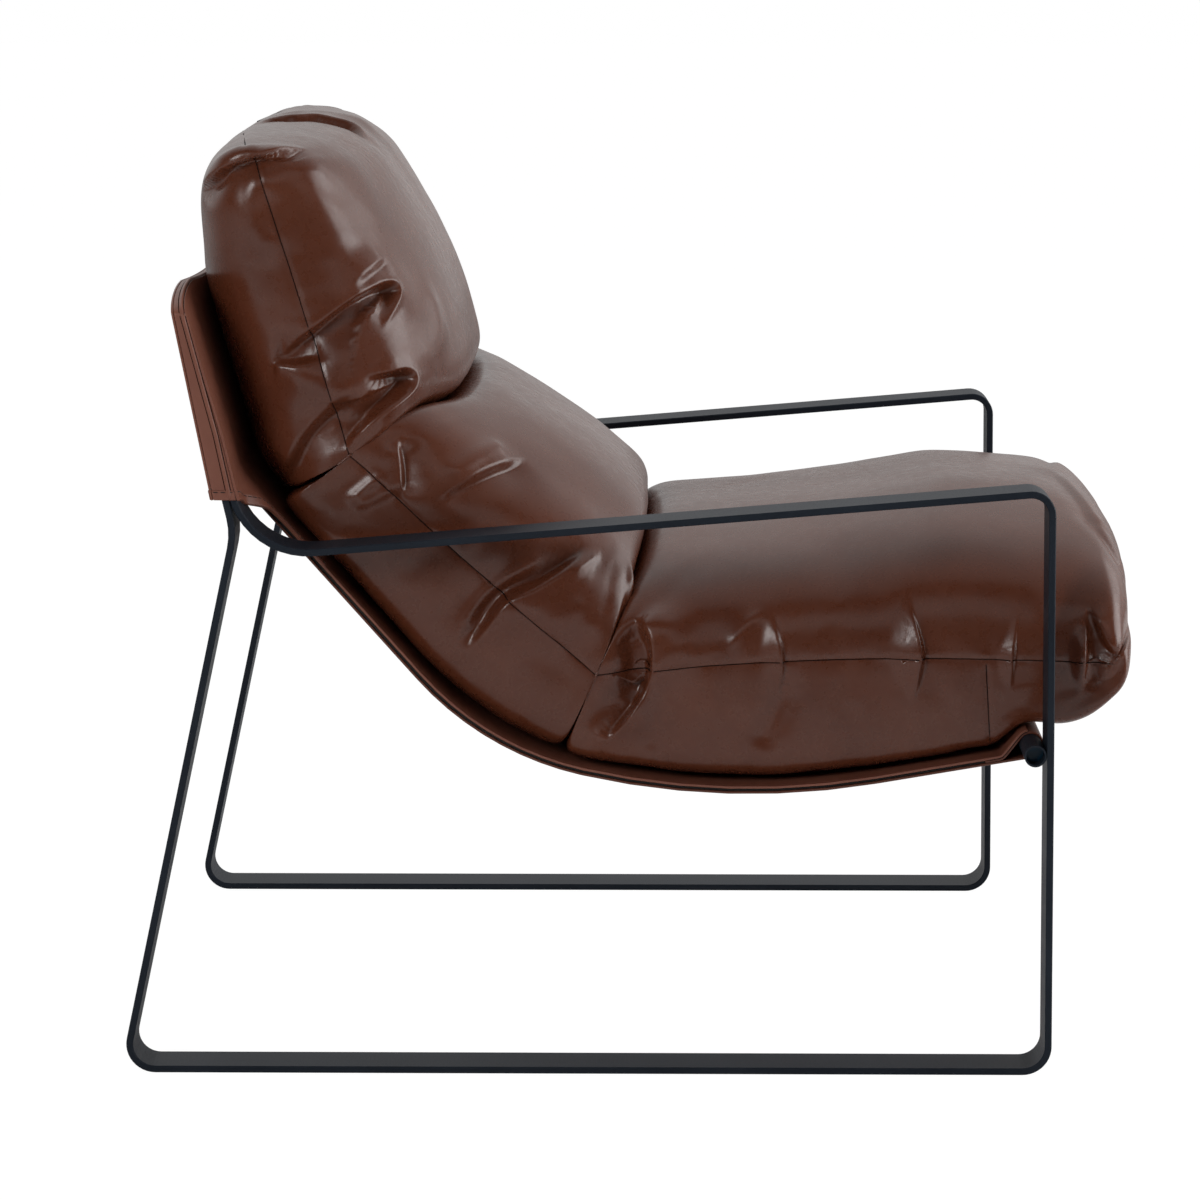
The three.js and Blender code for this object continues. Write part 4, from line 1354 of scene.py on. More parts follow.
    def boxing_path(self) -> Array:
        """The boxing strip's outer line, from one side of the chair to the other.

        Returns:
            The y and z of its points, one point per row.
        """
        view = self.view
        lean = math.cos(math.radians(view.back_lean))
        straight, run = view.sleeve_straight, view.sleeve_corner_run
        turn = np.radians(np.linspace(0, 90, 30))
        fall = view.sleeve_corner * lean * (1 - np.sin(turn))
        side = np.stack([straight + run * np.cos(turn), view.sleeve_top - fall], axis=1)
        y = np.linspace(0.97, 0, 30) * straight
        top = np.stack([y, view.sleeve_top - view.top_drop(y) * lean], axis=1)
        low = np.linspace(view.sleeve_bottom, side[0, 1], 25)[:-1]
        bottom = np.stack([np.full(len(low), view.sleeve_half), low], axis=1)
        half = np.concatenate([bottom, side, top])
        return np.concatenate([half, (half * [-1, 1])[-2::-1]])

    def boxing_edges(self, z: Array) -> tuple[Array, Array]:
        """The boxing strip's rear and front edges.

        Args:
            z: Heights.

        Returns:
            The x of its rear edge and of its front edge at each height.
        """
        view = self.view
        clear = view.leather / 2 + view.gap
        corners = view.sleeve_corners
        upper = np.interp(z, [corners[1][1], corners[0][1]], [corners[1][0], corners[0][0]])
        lower = np.array([view.inner_upright.at_height(float(h))[0] for h in z])
        rear = np.array([view.sleeve_rear.at_height(float(h))[0] for h in z])
        front = np.where(z > corners[1][1], upper, lower)
        return rear + clear, front - clear

    def strip_line(self, rise: float, proud: float, side: Side) -> Array:
        """A line across the boxing strip's foot, from its rear edge to its front edge.

        Args:
            rise: Its height over the sleeve's lower edge.
            proud: Its distance from the leather.
            side: The side of the chair.

        Returns:
            Its points, one per row.
        """
        z = self.view.sleeve_bottom + rise
        rear, front = self.boxing_edges(np.array([z]))
        x = np.linspace(rear[0], front[0], 7)
        return spots(x, side.value * (self.view.sleeve_half + proud), z)

    def make_boxing(self) -> None:
        """The strip round the sleeve's sides and top, and the welt along its front edge with painted shade in
        the groove on each side of it.
        """
        view = self.view
        path = self.boxing_path()
        rear, front = self.boxing_edges(path[:, 1])
        share = np.linspace(0, 1, 5)
        grid = spots(rear[:, None] + (front - rear)[:, None] * share, path[:, :1], path[:, 1:])
        inward = grid_normals(grid)
        foot = np.array([0, 0, view.sleeve_bottom])
        toward = np.sign(np.sum(inward * (foot - grid), axis=-1, keepdims=True))
        middle = grid + inward * toward * view.leather / 2
        piece = sheet("sleeve_boxing", middle, view.leather, self.palette(SLING_LEATHER))
        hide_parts("sleeve_boxing_strip")
        up = (path[:, 1] - view.sleeve_bottom) / view.sleeve_height
        back = self.welt_back[0] + (self.welt_back[1] - self.welt_back[0]) * up
        line = spots(front + view.leather / 2 - back, path[:, 0], path[:, 1])
        welt = tube("sleeve_welt", resampled(line, self.welt_step), self.welt, self.palette(SLING_LEATHER))
        # Painted shade: a thin dark tube in the groove on each side of the welt.
        for name, way in (("rear", -1), ("front", 1)):
            beside = line + np.array([way * (self.welt + self.shade), 0.0, 0.0])
            self.shaded(f"welt_shade_{name}", resampled(beside, self.welt_step))
        for side in Side:
            lines = [self.strip_line(rise, 0.5 * self.band_rise, side) for rise in self.band_lines]
            self.band(f"strip_band_{side.name.lower()}", lines)
            sewn = self.strip_line(self.stitch_inset, self.band_rise, side)
            self.sew(f"strip_stitches_{side.name.lower()}", sewn)


# The pad


class Profile(Enum):
    """How the height of a fold changes across it."""

    RIDGE = "ridge"
    VALLEY = "valley"
    SWELL = "swell"
    PLEAT = "pleat"
    LIP = "lip"

    def height(self, aside: Array, soft: float) -> Array:
        """The height across the fold.

        Args:
            aside: Distances to the left of the fold, in widths.
            soft: How gently a lip falls into its tuck.

        Returns:
            The height at each of them.
        """
        if self is Profile.RIDGE:
            return 1.25 / (1 + aside**2) ** 1.5 - 0.25 * np.exp(-((aside / 3) ** 2))
        if self is Profile.VALLEY:
            return 0.3 * np.exp(-(((np.abs(aside) - 2.2) / 0.9) ** 2)) - 1.15 * np.exp(-(aside**2))
        if self is Profile.SWELL:
            return np.exp(-(aside**2))
        if self is Profile.PLEAT:
            return np.maximum(0.0, 1 + np.minimum(aside, 0.0)) ** 1.2 * (1 - smoothstep(aside, -0.04, 0.14))
        over = smoothstep(aside, -0.6 * soft, 0.5 * soft)
        return over * 0.6 * np.exp(-((aside / 2.2) ** 2)) - (1 - over) * 0.9 * np.exp(-((aside / 1.9) ** 2))


@dataclass(frozen=True)
class Fold:
    """A fold of the leather along pixels of the photograph, its lip to the left of its way."""

    name: str
    profile: Profile
    height: float
    width: float
    pixels: tuple[Corner, ...]
    taper: float = 0.3
    close: float = 0.3
    narrow: float = 1.0
    soft: float = 1.0

    def cast(self, camera: PhotoView, cover: BVHTree) -> tuple[Array, Array]:
        """Lays the fold on a cover.

        Args:
            camera: The photograph's camera.
            cover: The cover's surface.

        Returns:
            The fold's points and the cover's normals there, one per row.
        """
        line = np.array(self.pixels, float)
        for _ in range(2):
            cut = np.stack([0.75 * line[:-1] + 0.25 * line[1:], 0.25 * line[:-1] + 0.75 * line[1:]], axis=1)
            line = np.concatenate([line[:1], cut.reshape(-1, 2), line[-1:]])
        hits = [cover.ray_cast(camera.place, camera.ray(pixel)) for pixel in resampled(line, 2.0)]
        found = np.array([(*hit[0], *hit[1]) for hit in hits if hit[0] is not None]).reshape(-1, 6)
        if len(found) < 3:
            LOG.warning("%s misses the cover", self.name)
            return found[:0, :3], found[:0, 3:]
        for _ in range(6):
            found[1:-1] = 0.25 * found[:-2] + 0.5 * found[1:-1] + 0.25 * found[2:]
        places = resampled(found[:, :3], 1.5 * MM)
        along = np.linspace(0, 1, len(places))
        share = lengths_along(found[:, :3])
        facing = np.stack([np.interp(along, share / share[-1], found[:, k]) for k in (3, 4, 5)], axis=1)
        return places, unit(facing)

    def heights(self, points: Array, path: Array, normals: Array) -> Array:
        """How far the fold lifts points of the cover.

        Args:
            points: The points, one per row.
            path: The fold's points.
            normals: The cover's normals at them.

        Returns:
            The height at each point.
        """
        out = np.zeros(len(points))
        far = FOLD_END * self.width
        if len(path) < 3:
            return out
        inside = (points > path.min(axis=0) - far) & (points < path.max(axis=0) + far)
        near = np.flatnonzero(np.all(inside, axis=1))
        between = points[near, None] - path[None]
        gaps = np.linalg.norm(between, axis=-1)
        closest = np.argmin(gaps, axis=1)
        pick = np.arange(len(near))
        left = np.cross(normals, unit(np.gradient(path, axis=0)))[closest]
        sign = np.sign(np.sum(between[pick, closest] * left, axis=1))
        along = lengths_along(path)
        share = along[closest] / along[-1]
        ends = np.ones(len(near))
        if self.profile is not Profile.SWELL:
            ends = smoothstep(share, 0, self.taper) * smoothstep(1 - share, 0, self.close)
        width = self.width * (self.narrow + (1 - self.narrow) * ends)
        across = sign * gaps[pick, closest] / width
        past = 1 - smoothstep(gaps[pick, closest], FOLD_FADE * self.width, far)
        out[near] = self.height * ends * past * self.profile.height(across, self.soft)
        return out


@dataclass(frozen=True)
class Stuffing:
    """A cloth simulation that blows a cover up between its held seams, for its wrinkles."""

    pressure: float = 4.0
    slack: float = 0.012
    stiffness: float = 18.0
    shear_share: float = 0.4
    bending: float = 1.5
    mass: float = 0.3
    quality: int = 6
    frames: int = 20
    inset: float = 4 * MM
    cap: float = 3 * MM
    spread: int = 120
    share: float = 0.35
    calm_y: float = 170 * MM
    lively_y: float = 262 * MM

    def fill(self, piece: Piece, held: Array) -> None:
        """Simulates the cover and applies the result, capped, to its mesh.

        Args:
            piece: The cover.
            held: How far each of its points is held in place, from 0 to 1.
        """
        points, normals = read_mesh(piece)
        write_points(piece, points - normals * (self.inset * (1 - held))[:, None])
        group = piece.vertex_groups.new(name="held")
        for index in np.flatnonzero(held > 0):
            group.add([int(index)], float(held[index]), "REPLACE")
        cloth = piece.modifiers.new("stuffing", "CLOTH")
        self.prepare(cloth, group.name)
        scene = bpy.context.scene
        for number in range(1, self.frames + 1):
            scene.frame_set(number)
        moved = np.empty(3 * len(points))
        done = piece.evaluated_get(bpy.context.evaluated_depsgraph_get())
        done.data.vertices.foreach_get("co", moved)
        piece.modifiers.remove(cloth)
        piece.vertex_groups.clear()
        scene.frame_set(1)
        out = np.sum((moved.reshape(-1, 3) - points) * normals, axis=1)
        broad = spread_out(piece, out, self.spread)
        relief = self.cap * np.tanh(self.share * (out - broad) / self.cap)
        relief *= smoothstep(np.abs(points[:, 1]), self.calm_y, self.lively_y)
        write_points(piece, points + normals * (relief * (1 - held))[:, None])
        LOG.info("%s: relief of %.1f mm by simulation", piece.name, 1000 * float(np.ptp(relief)))

    def prepare(self, cloth: bpy.types.Modifier, held: str) -> None:
        """Sets the simulation's leather, pressure and held points.

        Args:
            cloth: The simulation.
            held: The name of the group of held points.
        """
        settings = cloth.settings
        settings.quality = self.quality
        settings.mass = self.mass
        settings.tension_stiffness = self.stiffness
        settings.compression_stiffness = self.stiffness
        settings.shear_stiffness = self.shear_share * self.stiffness
        settings.bending_stiffness = self.bending
        settings.use_pressure = True
        settings.uniform_pressure_force = self.pressure
        settings.shrink_min = -self.slack
        settings.vertex_group_mass = held
        settings.effector_weights.gravity = 0.0
        cloth.collision_settings.use_collision = False
        cloth.collision_settings.use_self_collision = False
        cloth.point_cache.frame_start = 1
        cloth.point_cache.frame_end = self.frames


def read_mesh(piece: Piece) -> tuple[Array, Array]:
    """Reads a piece's mesh.

    Args:
        piece: The piece.

    Returns:
        Its points and their normals, one per row.
    """
    count = len(piece.data.vertices)
    points, normals = np.empty(3 * count), np.empty(3 * count)
    piece.data.vertices.foreach_get("co", points)
    piece.data.vertex_normals.foreach_get("vector", normals)
    return points.reshape(-1, 3), normals.reshape(-1, 3)


def write_points(piece: Piece, points: Array) -> None:
    """Moves the points of a piece's mesh."""
    piece.data.vertices.foreach_set("co", points.ravel())
    piece.data.update()


def spread_out(piece: Piece, values: Array, steps: int) -> Array:
    """Values on a piece's points, evened out along its edges.

    Args:
        piece: The piece.
        values: A value for each point.
        steps: How often each point takes the mean of its neighbours.

    Returns:
        The evened values.
    """
    ends = np.empty(2 * len(piece.data.edges), int)
    piece.data.edges.foreach_get("vertices", ends)
    first, second = ends.reshape(-1, 2).T
    here, there = np.concatenate([first, second]), np.concatenate([second, first])
    degree = np.maximum(np.bincount(here, minlength=len(values)), 1)
    for _ in range(steps):
        values = 0.5 * values + 0.5 * np.bincount(here, values[there], len(values)) / degree
    return values


def face_outward(piece: Piece) -> None:
    """Turns the faces of a closed piece outward.

    Args:
        piece: The piece.
    """
    mesh = bmesh.new()
    mesh.from_mesh(piece.data)
    bmesh.ops.recalc_face_normals(mesh, faces=mesh.faces)
    mesh.to_mesh(piece.data)
    mesh.free()


def refine(piece: Piece) -> None:
    """Subdivides a piece once.

    Args:
        piece: The piece, which gets a new mesh.
    """
    finer = piece.modifiers.new("finer", "SUBSURF")
    finer.levels = finer.render_levels = 1
    done = piece.evaluated_get(bpy.context.evaluated_depsgraph_get())
    mesh = bpy.data.meshes.new_from_object(done)
    piece.modifiers.remove(finer)
    old = piece.data
    piece.data = mesh
    bpy.data.meshes.remove(old)


def surface(piece: Piece) -> BVHTree:
    """A piece's mesh, ready for rays and nearest points."""
    points, _ = read_mesh(piece)
    return BVHTree.FromPolygons(points.tolist(), [tuple(face.vertices) for face in piece.data.polygons])


def searchable(places: Array) -> KDTree:
    """Places, ready for the search of the nearest one.

    Args:
        places: The places, one per row.

    Returns:
        The search tree.
    """
    tree = KDTree(len(places))
    for index, place in enumerate(places):
        tree.insert(place, index)
    tree.balance()
    return tree


def sharpen(piece: Piece, places: Array, reach_out: float) -> None:
    """Halves the edges of a piece near places.

    Args:
        piece: The piece.
        places: The places, one per row.
        reach_out: How far from them edges are halved.
    """
    tree = searchable(places)
    mesh = bmesh.new()
    mesh.from_mesh(piece.data)
    near = {vertex for vertex in mesh.verts if tree.find(vertex.co)[2] < reach_out}
    edges = [edge for edge in mesh.edges if edge.verts[0] in near and edge.verts[1] in near]
    bmesh.ops.subdivide_edges(mesh, edges=edges, cuts=1, use_grid_fill=True, smooth=1.0)
    mesh.to_mesh(piece.data)
    mesh.free()


@dataclass(frozen=True)
class CreaseLift:
    """How the crease between two cushions rises at the chair's sides."""

    line: Line
    rise: float = 18 * MM
    middle: float = 135 * MM
    run: float = 62 * MM
    depth: float = 60 * MM
    inner_y: float = 130 * MM
    outer_y: float = 270 * MM

    def moved(self, points: Array) -> Array:
        """Moves points with the crease.

        Args:
            points: A cushion's points, one per row.

        Returns:
            The moved points.
        """
        flat = points[:, [0, 2]] - np.array(self.line.point)
        along, above = flat @ self.line.along, flat @ self.line.left
        share = np.exp(-(((along - self.middle) / self.run) ** 2) - (above / self.depth) ** 2)
        amount = self.rise * share * smoothstep(np.abs(points[:, 1]), self.inner_y, self.outer_y)
        return points + amount[:, None] * np.array([self.line.left[0], 0.0, self.line.left[1]])


@dataclass(frozen=True)
class SewnLine:
    """A seam of the cover besides the one along its side, along pixels of the photograph."""

    name: str
    pixels: tuple[Corner, ...]
    depth: float = 0.5 * MM
    width: float = 2.6 * MM

    @property
    def groove(self) -> Fold:
        """The groove that the seam draws in the leather."""
        return Fold(self.name, Profile.VALLEY, self.depth, self.width, self.pixels, taper=0.05, close=0.05)


@dataclass(frozen=True)
class Bulge:
    """A place where a cushion's section swells or sinks, from the middle of the front tube."""

    name: str
    ahead: float
    above: float
    height: float
    radius: float

    def heights(self, points: Array, tube: Array) -> Array:
        """How far points of the section move out."""
        gaps = np.linalg.norm(points - tube - np.array([self.ahead, self.above]), axis=1)
        return self.height * np.exp(-((gaps / self.radius) ** 2))


@dataclass(frozen=True)
class Section:
    """A cushion's section at mid-width: its points in order and their places on the side seam."""

    points: Array
    share: Array
    above: Array
    count: int


@dataclass
class Cushion:
    """One cushion of the pad: a section at mid-width, drawn in to a seam at each side."""

    name: str
    view: SideView
    palette: Palette
    camera: PhotoView
    start: Line
    end: Line
    creases: tuple[Line, ...]
    folds: tuple[Fold, ...]
    sewn: tuple[SewnLine, ...] = ()
    lifts: tuple[CreaseLift, ...] = ()
    bulges: tuple[Bulge, ...] = ()
    stuffing: Stuffing = Stuffing()
    echo: float = 0.9
    seam_arch: float = 0.0
    seam_line: float = 0.5 * MM
    seam_step: float = 3 * MM
    seam_cast: tuple[float, float] = (40 * MM, 70 * MM)
    groove: float = 0.6 * MM
    groove_width: float = 2.8 * MM
    gather: float = 0.05 * MM
    gather_waves: tuple[tuple[float, float, float], ...] = (
        (4.6 * MM, 1.0, 0.0),
        (2.9 * MM, 0.8, 1.0),
        (9.7 * MM, 0.9, 0.0),
    )
    gather_rise: tuple[float, float] = (1 * MM, 9 * MM)
    gather_reach: float = 24 * MM
    gather_end: float = 75 * MM
    ripple_waves: tuple[tuple[float, float], ...] = ((85 * MM, 1.3 * MM), (38 * MM, 0.45 * MM))
    hold: tuple[float, float] = (5 * MM, 14 * MM)
    cover: float = 2.8 * MM
    clearance: float = 0.8 * MM
    half_width: float = 292 * MM
    upper_power: float = 2.5
    lower_power: float = 4.0
    power_blend: float = 40 * MM
    tuck: float = 0.8 * MM
    tuck_share: float = 0.25
    spacing: float = 6.5 * MM
    usual_depth: float = 100 * MM
    round_off: int = 7
    end_depth: float = 5 * MM
    sharp_reach: float = 13 * MM
    fill: float = 0.75

    def outline(self) -> Array:
        """The cover's section at mid-width, from the solid fill's middle ring.

        Returns:
            A dense closed section, one point per row.
        """
        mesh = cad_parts[f"{self.name}_fill"].data
        places = {}
        beside: dict[tuple, set] = {}
        for vertex in mesh.vertices:
            if abs(vertex.co.y) < 1e-5:
                places[vertex.index] = (round(vertex.co.x, 5), round(vertex.co.z, 5))
        for edge in mesh.edges:
            first, second = (places.get(i) for i in edge.vertices)
            if first and second and first != second:
                beside.setdefault(first, set()).add(second)
                beside.setdefault(second, set()).add(first)
        ring = [min(beside)]
        while True:
            onward = [p for p in sorted(beside[ring[-1]]) if p not in ring[-2:] and p != ring[0]]
            if not onward:
                break
            ring.append(onward[0])
        return self.swollen(np.array(ring))

    def swollen(self, ring: Array) -> Array:
        """A closed section moved out to the cover and rounded.

        Args:
            ring: The fill's section, one point per row.

        Returns:
            A dense closed section, one point per row, without the first one again.
        """
        before, after = np.roll(ring, 1, axis=0), np.roll(ring, -1, axis=0)
        area = np.sum(ring[:, 0] * after[:, 1] - ring[:, 1] * after[:, 0])
        outward = math.copysign(1.0, area)
        normals = [unit(np.stack([d[:, 1], -d[:, 0]], axis=1)) * outward for d in (ring - before, after - ring)]
        mean = normals[0] + normals[1]
        bend = 1 + np.sum(normals[0] * normals[1], axis=1)
        ring = ring + mean * ((self.cover - self.clearance) / bend)[:, None]
        closed = np.concatenate([ring, ring[:1]])
        dense = resampled(closed, 1 * MM)[:-1]
        dense = periodic_blur(dense, self.round_off)
        along = unit(np.roll(dense, -1, axis=0) - np.roll(dense, 1, axis=0))
        out = outward * np.stack([along[:, 1], -along[:, 0]], axis=1)
        for bulge in self.bulges:
            dense = dense + out * bulge.heights(dense, self.view.tube)[:, None]
        return dense

    def seam(self, share: Array) -> Array:
        """Points of the side seam in the side view.

        Args:
            share: Shares of the way from its start to its end.

        Returns:
            The points, one per row.
        """
        start, end = np.array(self.start.point), np.array(self.end.point)
        axis = end - start
        rise = unit(np.array([-axis[1], axis[0]]))
        return start + share[:, None] * axis + (4 * self.seam_arch * share * (1 - share))[:, None] * rise

    def section(self) -> Section:
        """The section's points in order, with their places on the seam.

        Returns:
            The points, the share of the seam that each is drawn in to, its height above the seam, and the
            number of points on each long side.
        """
        dense = self.outline()
        start, end = np.array(self.start.point), np.array(self.end.point)
        from_start = reach(self.start, dense, end, self.end_depth)
        from_end = reach(self.end, dense, start, self.end_depth)
        share = from_start / (from_start + from_end)
        first = int(np.argmax((share > 0) & (np.roll(share, 1) <= 0)))
        dense, share = np.roll(dense, -first, axis=0), np.roll(share, -first)
        reached = int(np.argmax(share >= 1.0))
        leaving = len(share) - int(np.argmax(share[::-1] >= 1.0))
        home = leaving + int(np.argmax(share[leaving:] <= 0)) if np.any(share[leaving:] <= 0) else len(share)
        chains = [slice(0, reached), slice(reached, leaving), slice(leaving, home), slice(home, len(share))]
        count = int(np.linalg.norm(end - start) / self.spacing)
        shares = (np.arange(count) + 0.5) / count
        out_points, out_shares = [], []
        for index, chain in enumerate(chains):
            points, along = dense[chain], share[chain]
            if index in (0, 2):
                way = 1 if index == 0 else -1
                key = np.maximum.accumulate(way * along)
                step = shares[::way]
                out_points.append(np.stack([np.interp(way * step, key, points[:, k]) for k in (0, 1)], axis=1))
                out_shares.append(step)
            else:
                parts = resampled(points, self.spacing)
                out_points.append(parts)
                out_shares.append(np.full(len(parts), 1.0 if index == 1 else 0.0))
        points = np.concatenate(out_points)
        axis = unit(end - start)
        above = (points - start) @ np.array([-axis[1], axis[0]])
        return Section(points, np.concatenate(out_shares), above, count)

    def stations(self) -> Array:
        """Angles across the width, in even steps on the cover.

        Returns:
            The angles, from one side seam to the other.
        """
        angles = np.linspace(0, math.pi / 2, 2000)
        power = 2 / (0.5 * (self.upper_power + self.lower_power))
        size = np.array([self.half_width, self.usual_depth])
        line = size * np.stack([np.sin(angles), np.cos(angles)], axis=1) ** power
        along = lengths_along(line)
        count = int(along[-1] / self.spacing)
        quarter = np.interp(np.linspace(0, along[-1], count + 1), along, angles)
        return np.concatenate([-quarter[:0:-1], quarter])

    def base(self) -> tuple[Array, list, Array]:
        """The cushion before it is stuffed.

        Returns:
            Its points, its faces and the numbers of its seam's points, side by side.
        """
        section = self.section()
        points, share, count = section.points, section.share, section.count
        roots = self.seam(share)
        blend = smoothstep(section.above, -self.power_blend, self.power_blend)
        power = 2 / (self.lower_power + (self.upper_power - self.lower_power) * blend)
        angles = self.stations()
        wide = np.sign(angles)[:, None] * np.abs(np.sin(angles))[:, None] ** power
        full = np.maximum(np.cos(angles), 0)[:, None] ** power
        full[[0, -1]] = 0.0
        y = wide * (self.half_width - self.tuck * np.exp(-((full / self.tuck_share) ** 2)))
        place = roots + (points - roots) * full[..., None]
        y[[0, -1]] = np.array([[-1.0], [1.0]]) * (self.half_width - self.tuck)
        grid = spots(place[..., 0], y, place[..., 1])
        rows, ring = y.shape
        index = np.arange(rows * ring).reshape(rows, ring)
        ends = (np.flatnonzero(share <= 0), np.flatnonzero(share >= 1))
        first_chain = np.arange(count)
        third_chain = np.flatnonzero((share > 0) & (share < 1))[count:][::-1]
        for row in (0, rows - 1):
            for end in ends:
                index[row, end] = index[row, end[0]]
            index[row, third_chain] = index[row, first_chain]
        quads = np.array(grid_faces(rows, ring, ring=True))
        mapped = index.ravel()[quads]
        used, inverse = np.unique(mapped, return_inverse=True)
        faces = []
        for face in inverse.reshape(mapped.shape).tolist():
            corners = [corner for k, corner in enumerate(face) if corner != face[k - 1]]
            if len(set(corners)) > 2:
                faces.append(corners)
        seam_order = np.concatenate([ends[0][:1], first_chain, ends[1][:1]])
        renumber = np.searchsorted(used, index[[0, -1]][:, seam_order])
        return grid.reshape(-1, 3)[used], faces, renumber

    def held(self, points: Array, seams: Array) -> Array:
        """How far each point is held while the cover is blown up: on the sling, in creases and at seams.

        Args:
            points: The points, one per row.
            seams: The numbers of the seams' points.

        Returns:
            A share from 0 to 1 for each point.
        """
        flat = points[:, [0, 2]]
        face = self.view.pad_face().points
        gap = np.min(np.linalg.norm(flat[:, None] - face[None, ::3], axis=-1), axis=1)
        for line in self.creases:
            gap = np.minimum(gap, np.abs((flat - np.array(line.point)) @ line.left))
        held = 1 - smoothstep(gap, *self.hold)
        held[seams.ravel()] = 1.0
        return held

    def build(self) -> Piece:
        """Makes the cushion, its folds and its seams.

        Returns:
            The cushion.
        """
        points, faces, seams = self.base()
        held = self.held(points, seams)
        for lift in self.lifts:
            points = lift.moved(points)
        lines = [resampled(points[numbers], self.seam_step) for numbers in seams]
        piece = mesh_object(self.name, points, faces, self.palette(PAD_LEATHER))
        face_outward(piece)
        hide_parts(f"{self.name}_cover", f"{self.name}_fill", f"{self.name}_zip")
        self.stuffing.fill(piece, held)
        refine(piece)
        self.fold(piece, lines)
        self.sew(piece, lines)
        LOG.info("%s: %d points", self.name, len(piece.data.vertices))
        return piece

    def fold(self, piece: Piece, lines: list[Array]) -> None:
        """Moves the cover's points into its folds, gathers and grooves.

        Args:
            piece: The cushion.
            lines: The side seams.
        """
        cover = surface(piece)
        folds = (*self.folds, *(line.groove for line in self.sewn))
        laid = [fold.cast(self.camera, cover) for fold in folds]
        mirror = np.array([1.0, -1.0, 1.0])
        paths = np.concatenate([path for path, _ in laid])
        sharpen(piece, np.concatenate([paths, paths * mirror]), self.sharp_reach)
        points, normals = read_mesh(piece)
        lift = self.ripples(points)
        for fold, (path, facing) in zip(folds, laid):
            lift += fold.heights(points, path, facing)
            lift += self.echo * fold.heights(points * mirror, path, facing)
        for line in lines:
            lift += self.gathers(points, line)
        write_points(piece, points + normals * lift[:, None])

    def ripples(self, points: Array) -> Array:
        """Soft unevenness of the fill.

        Args:
            points: The cover's points, one per row.

        Returns:
            The height at each point.
        """
        out = np.zeros(len(points))
        for size, height in self.ripple_waves:
            scaled = points / size
            out += height * np.array([noise.noise(Vector(place)) for place in scaled])
        return out

    def gathers(self, points: Array, line: Array) -> Array:
        """The groove of a side seam, and the small gathers along it.

        Args:
            points: The cover's points.
            line: The seam's points.

        Returns:
            The height at each point.
        """
        out = np.zeros(len(points))
        near = np.flatnonzero(np.abs(points[:, 1] - line[0, 1]) < self.gather_end)
        tree = searchable(line)
        found = [tree.find(place) for place in points[near]]
        gap = np.array([hit[2] for hit in found])
        along = lengths_along(line)[[hit[1] for hit in found]]
        wave = sum(share * np.sin(along / length + turn) for length, share, turn in self.gather_waves)
        fade = smoothstep(gap, *self.gather_rise) * np.exp(-((gap / self.gather_reach) ** 2))
        out[near] = self.gather * wave * fade - self.groove * np.exp(-((gap / self.groove_width) ** 2))
        return out

    def from_outside(self, cover: BVHTree, place: Array) -> Vector:
        """The place on the finished cover that lies beside a place of a seam.

        Args:
            cover: The finished cover's surface.
            place: The place of the seam.

        Returns:
            The place on the cover.
        """
        side = math.copysign(1.0, float(place[1]))
        away, length = self.seam_cast
        start = Vector(place) + Vector((0.0, away * side, 0.0))
        hit = cover.ray_cast(start, Vector((0.0, -side, 0.0)), length)[0]
        return hit or cover.find_nearest(Vector(place))[0]

    def sew(self, piece: Piece, lines: list[Array]) -> None:
        """Lays a dark line in each seam, on both sides: the seam's joint, darkened further by the shade in its
        crevice, which is painted in.

        Args:
            piece: The finished cushion.
            lines: The side seams.
        """
        cover = surface(piece)
        paths = {}
        for side, line in zip(Side, lines):
            places = [self.from_outside(cover, place) for place in resampled(line, self.seam_step)]
            paths[f"seam_{side.name.lower()}"] = np.array(places)
        for line in self.sewn:
            path, _ = line.groove.cast(self.camera, cover)
            for side in Side:
                paths[f"{line.name}_{side.name.lower()}"] = path * np.array([1.0, -side.value, 1.0])
        # Each line is a thin near-black tube: the joint itself, with the shade in its crevice painted in.
        for name, path in paths.items():
            thread = tube(f"{self.name}_{name}", path, self.seam_line, self.palette(PAINTED_SEAM_SHADE), sides=6)


def periodic_blur(ring: Array, width: int) -> Array:
    """A closed path with its corners rounded off.

    Args:
        ring: The path, one point per row.
        width: The blur's width, in points.

    Returns:
        The rounded path.
    """
    reach_points = np.arange(-3 * width, 3 * width + 1)
    weights = np.exp(-0.5 * (reach_points / width) ** 2)
    weights /= weights.sum()
    return sum(w * np.roll(ring, -k, axis=0) for w, k in zip(weights, reach_points))


def reach(line: Line, places: Array, other: Array, depth: float) -> Array:
    """How far places lie past a line, on the side of it where another place is.

    Args:
        line: The line.
        places: The places, one per row.
        other: The place that says which side counts.
        depth: How far past the line the count starts.

    Returns:
        The distances, none below zero.
    """
    sign = math.copysign(1.0, float(line.left @ (other - np.array(line.point))))
    return np.maximum(0.0, sign * ((places - np.array(line.point)) @ line.left) - depth)


# Stage


@dataclass(frozen=True)
class Softbox:
    """A large soft lamp, aimed at the chair."""

    name: str
    place: tuple[float, float, float]
    size: tuple[float, float]
    watts: float
    aim: tuple[float, float, float] = (0.0, 0.0, 0.4)

    def make(self) -> None:
        """Puts the lamp in the scene."""
        data = bpy.data.lights.new(self.name, "AREA")
        data.shape = "RECTANGLE"
        data.size, data.size_y = self.size
        data.energy = self.watts
        lamp = put(self.name, data)
        lamp.location = self.place
        toward = Vector(self.aim) - Vector(self.place)
        lamp.rotation_mode = "QUATERNION"
        lamp.rotation_quaternion = toward.to_track_quat("-Z", "Y")


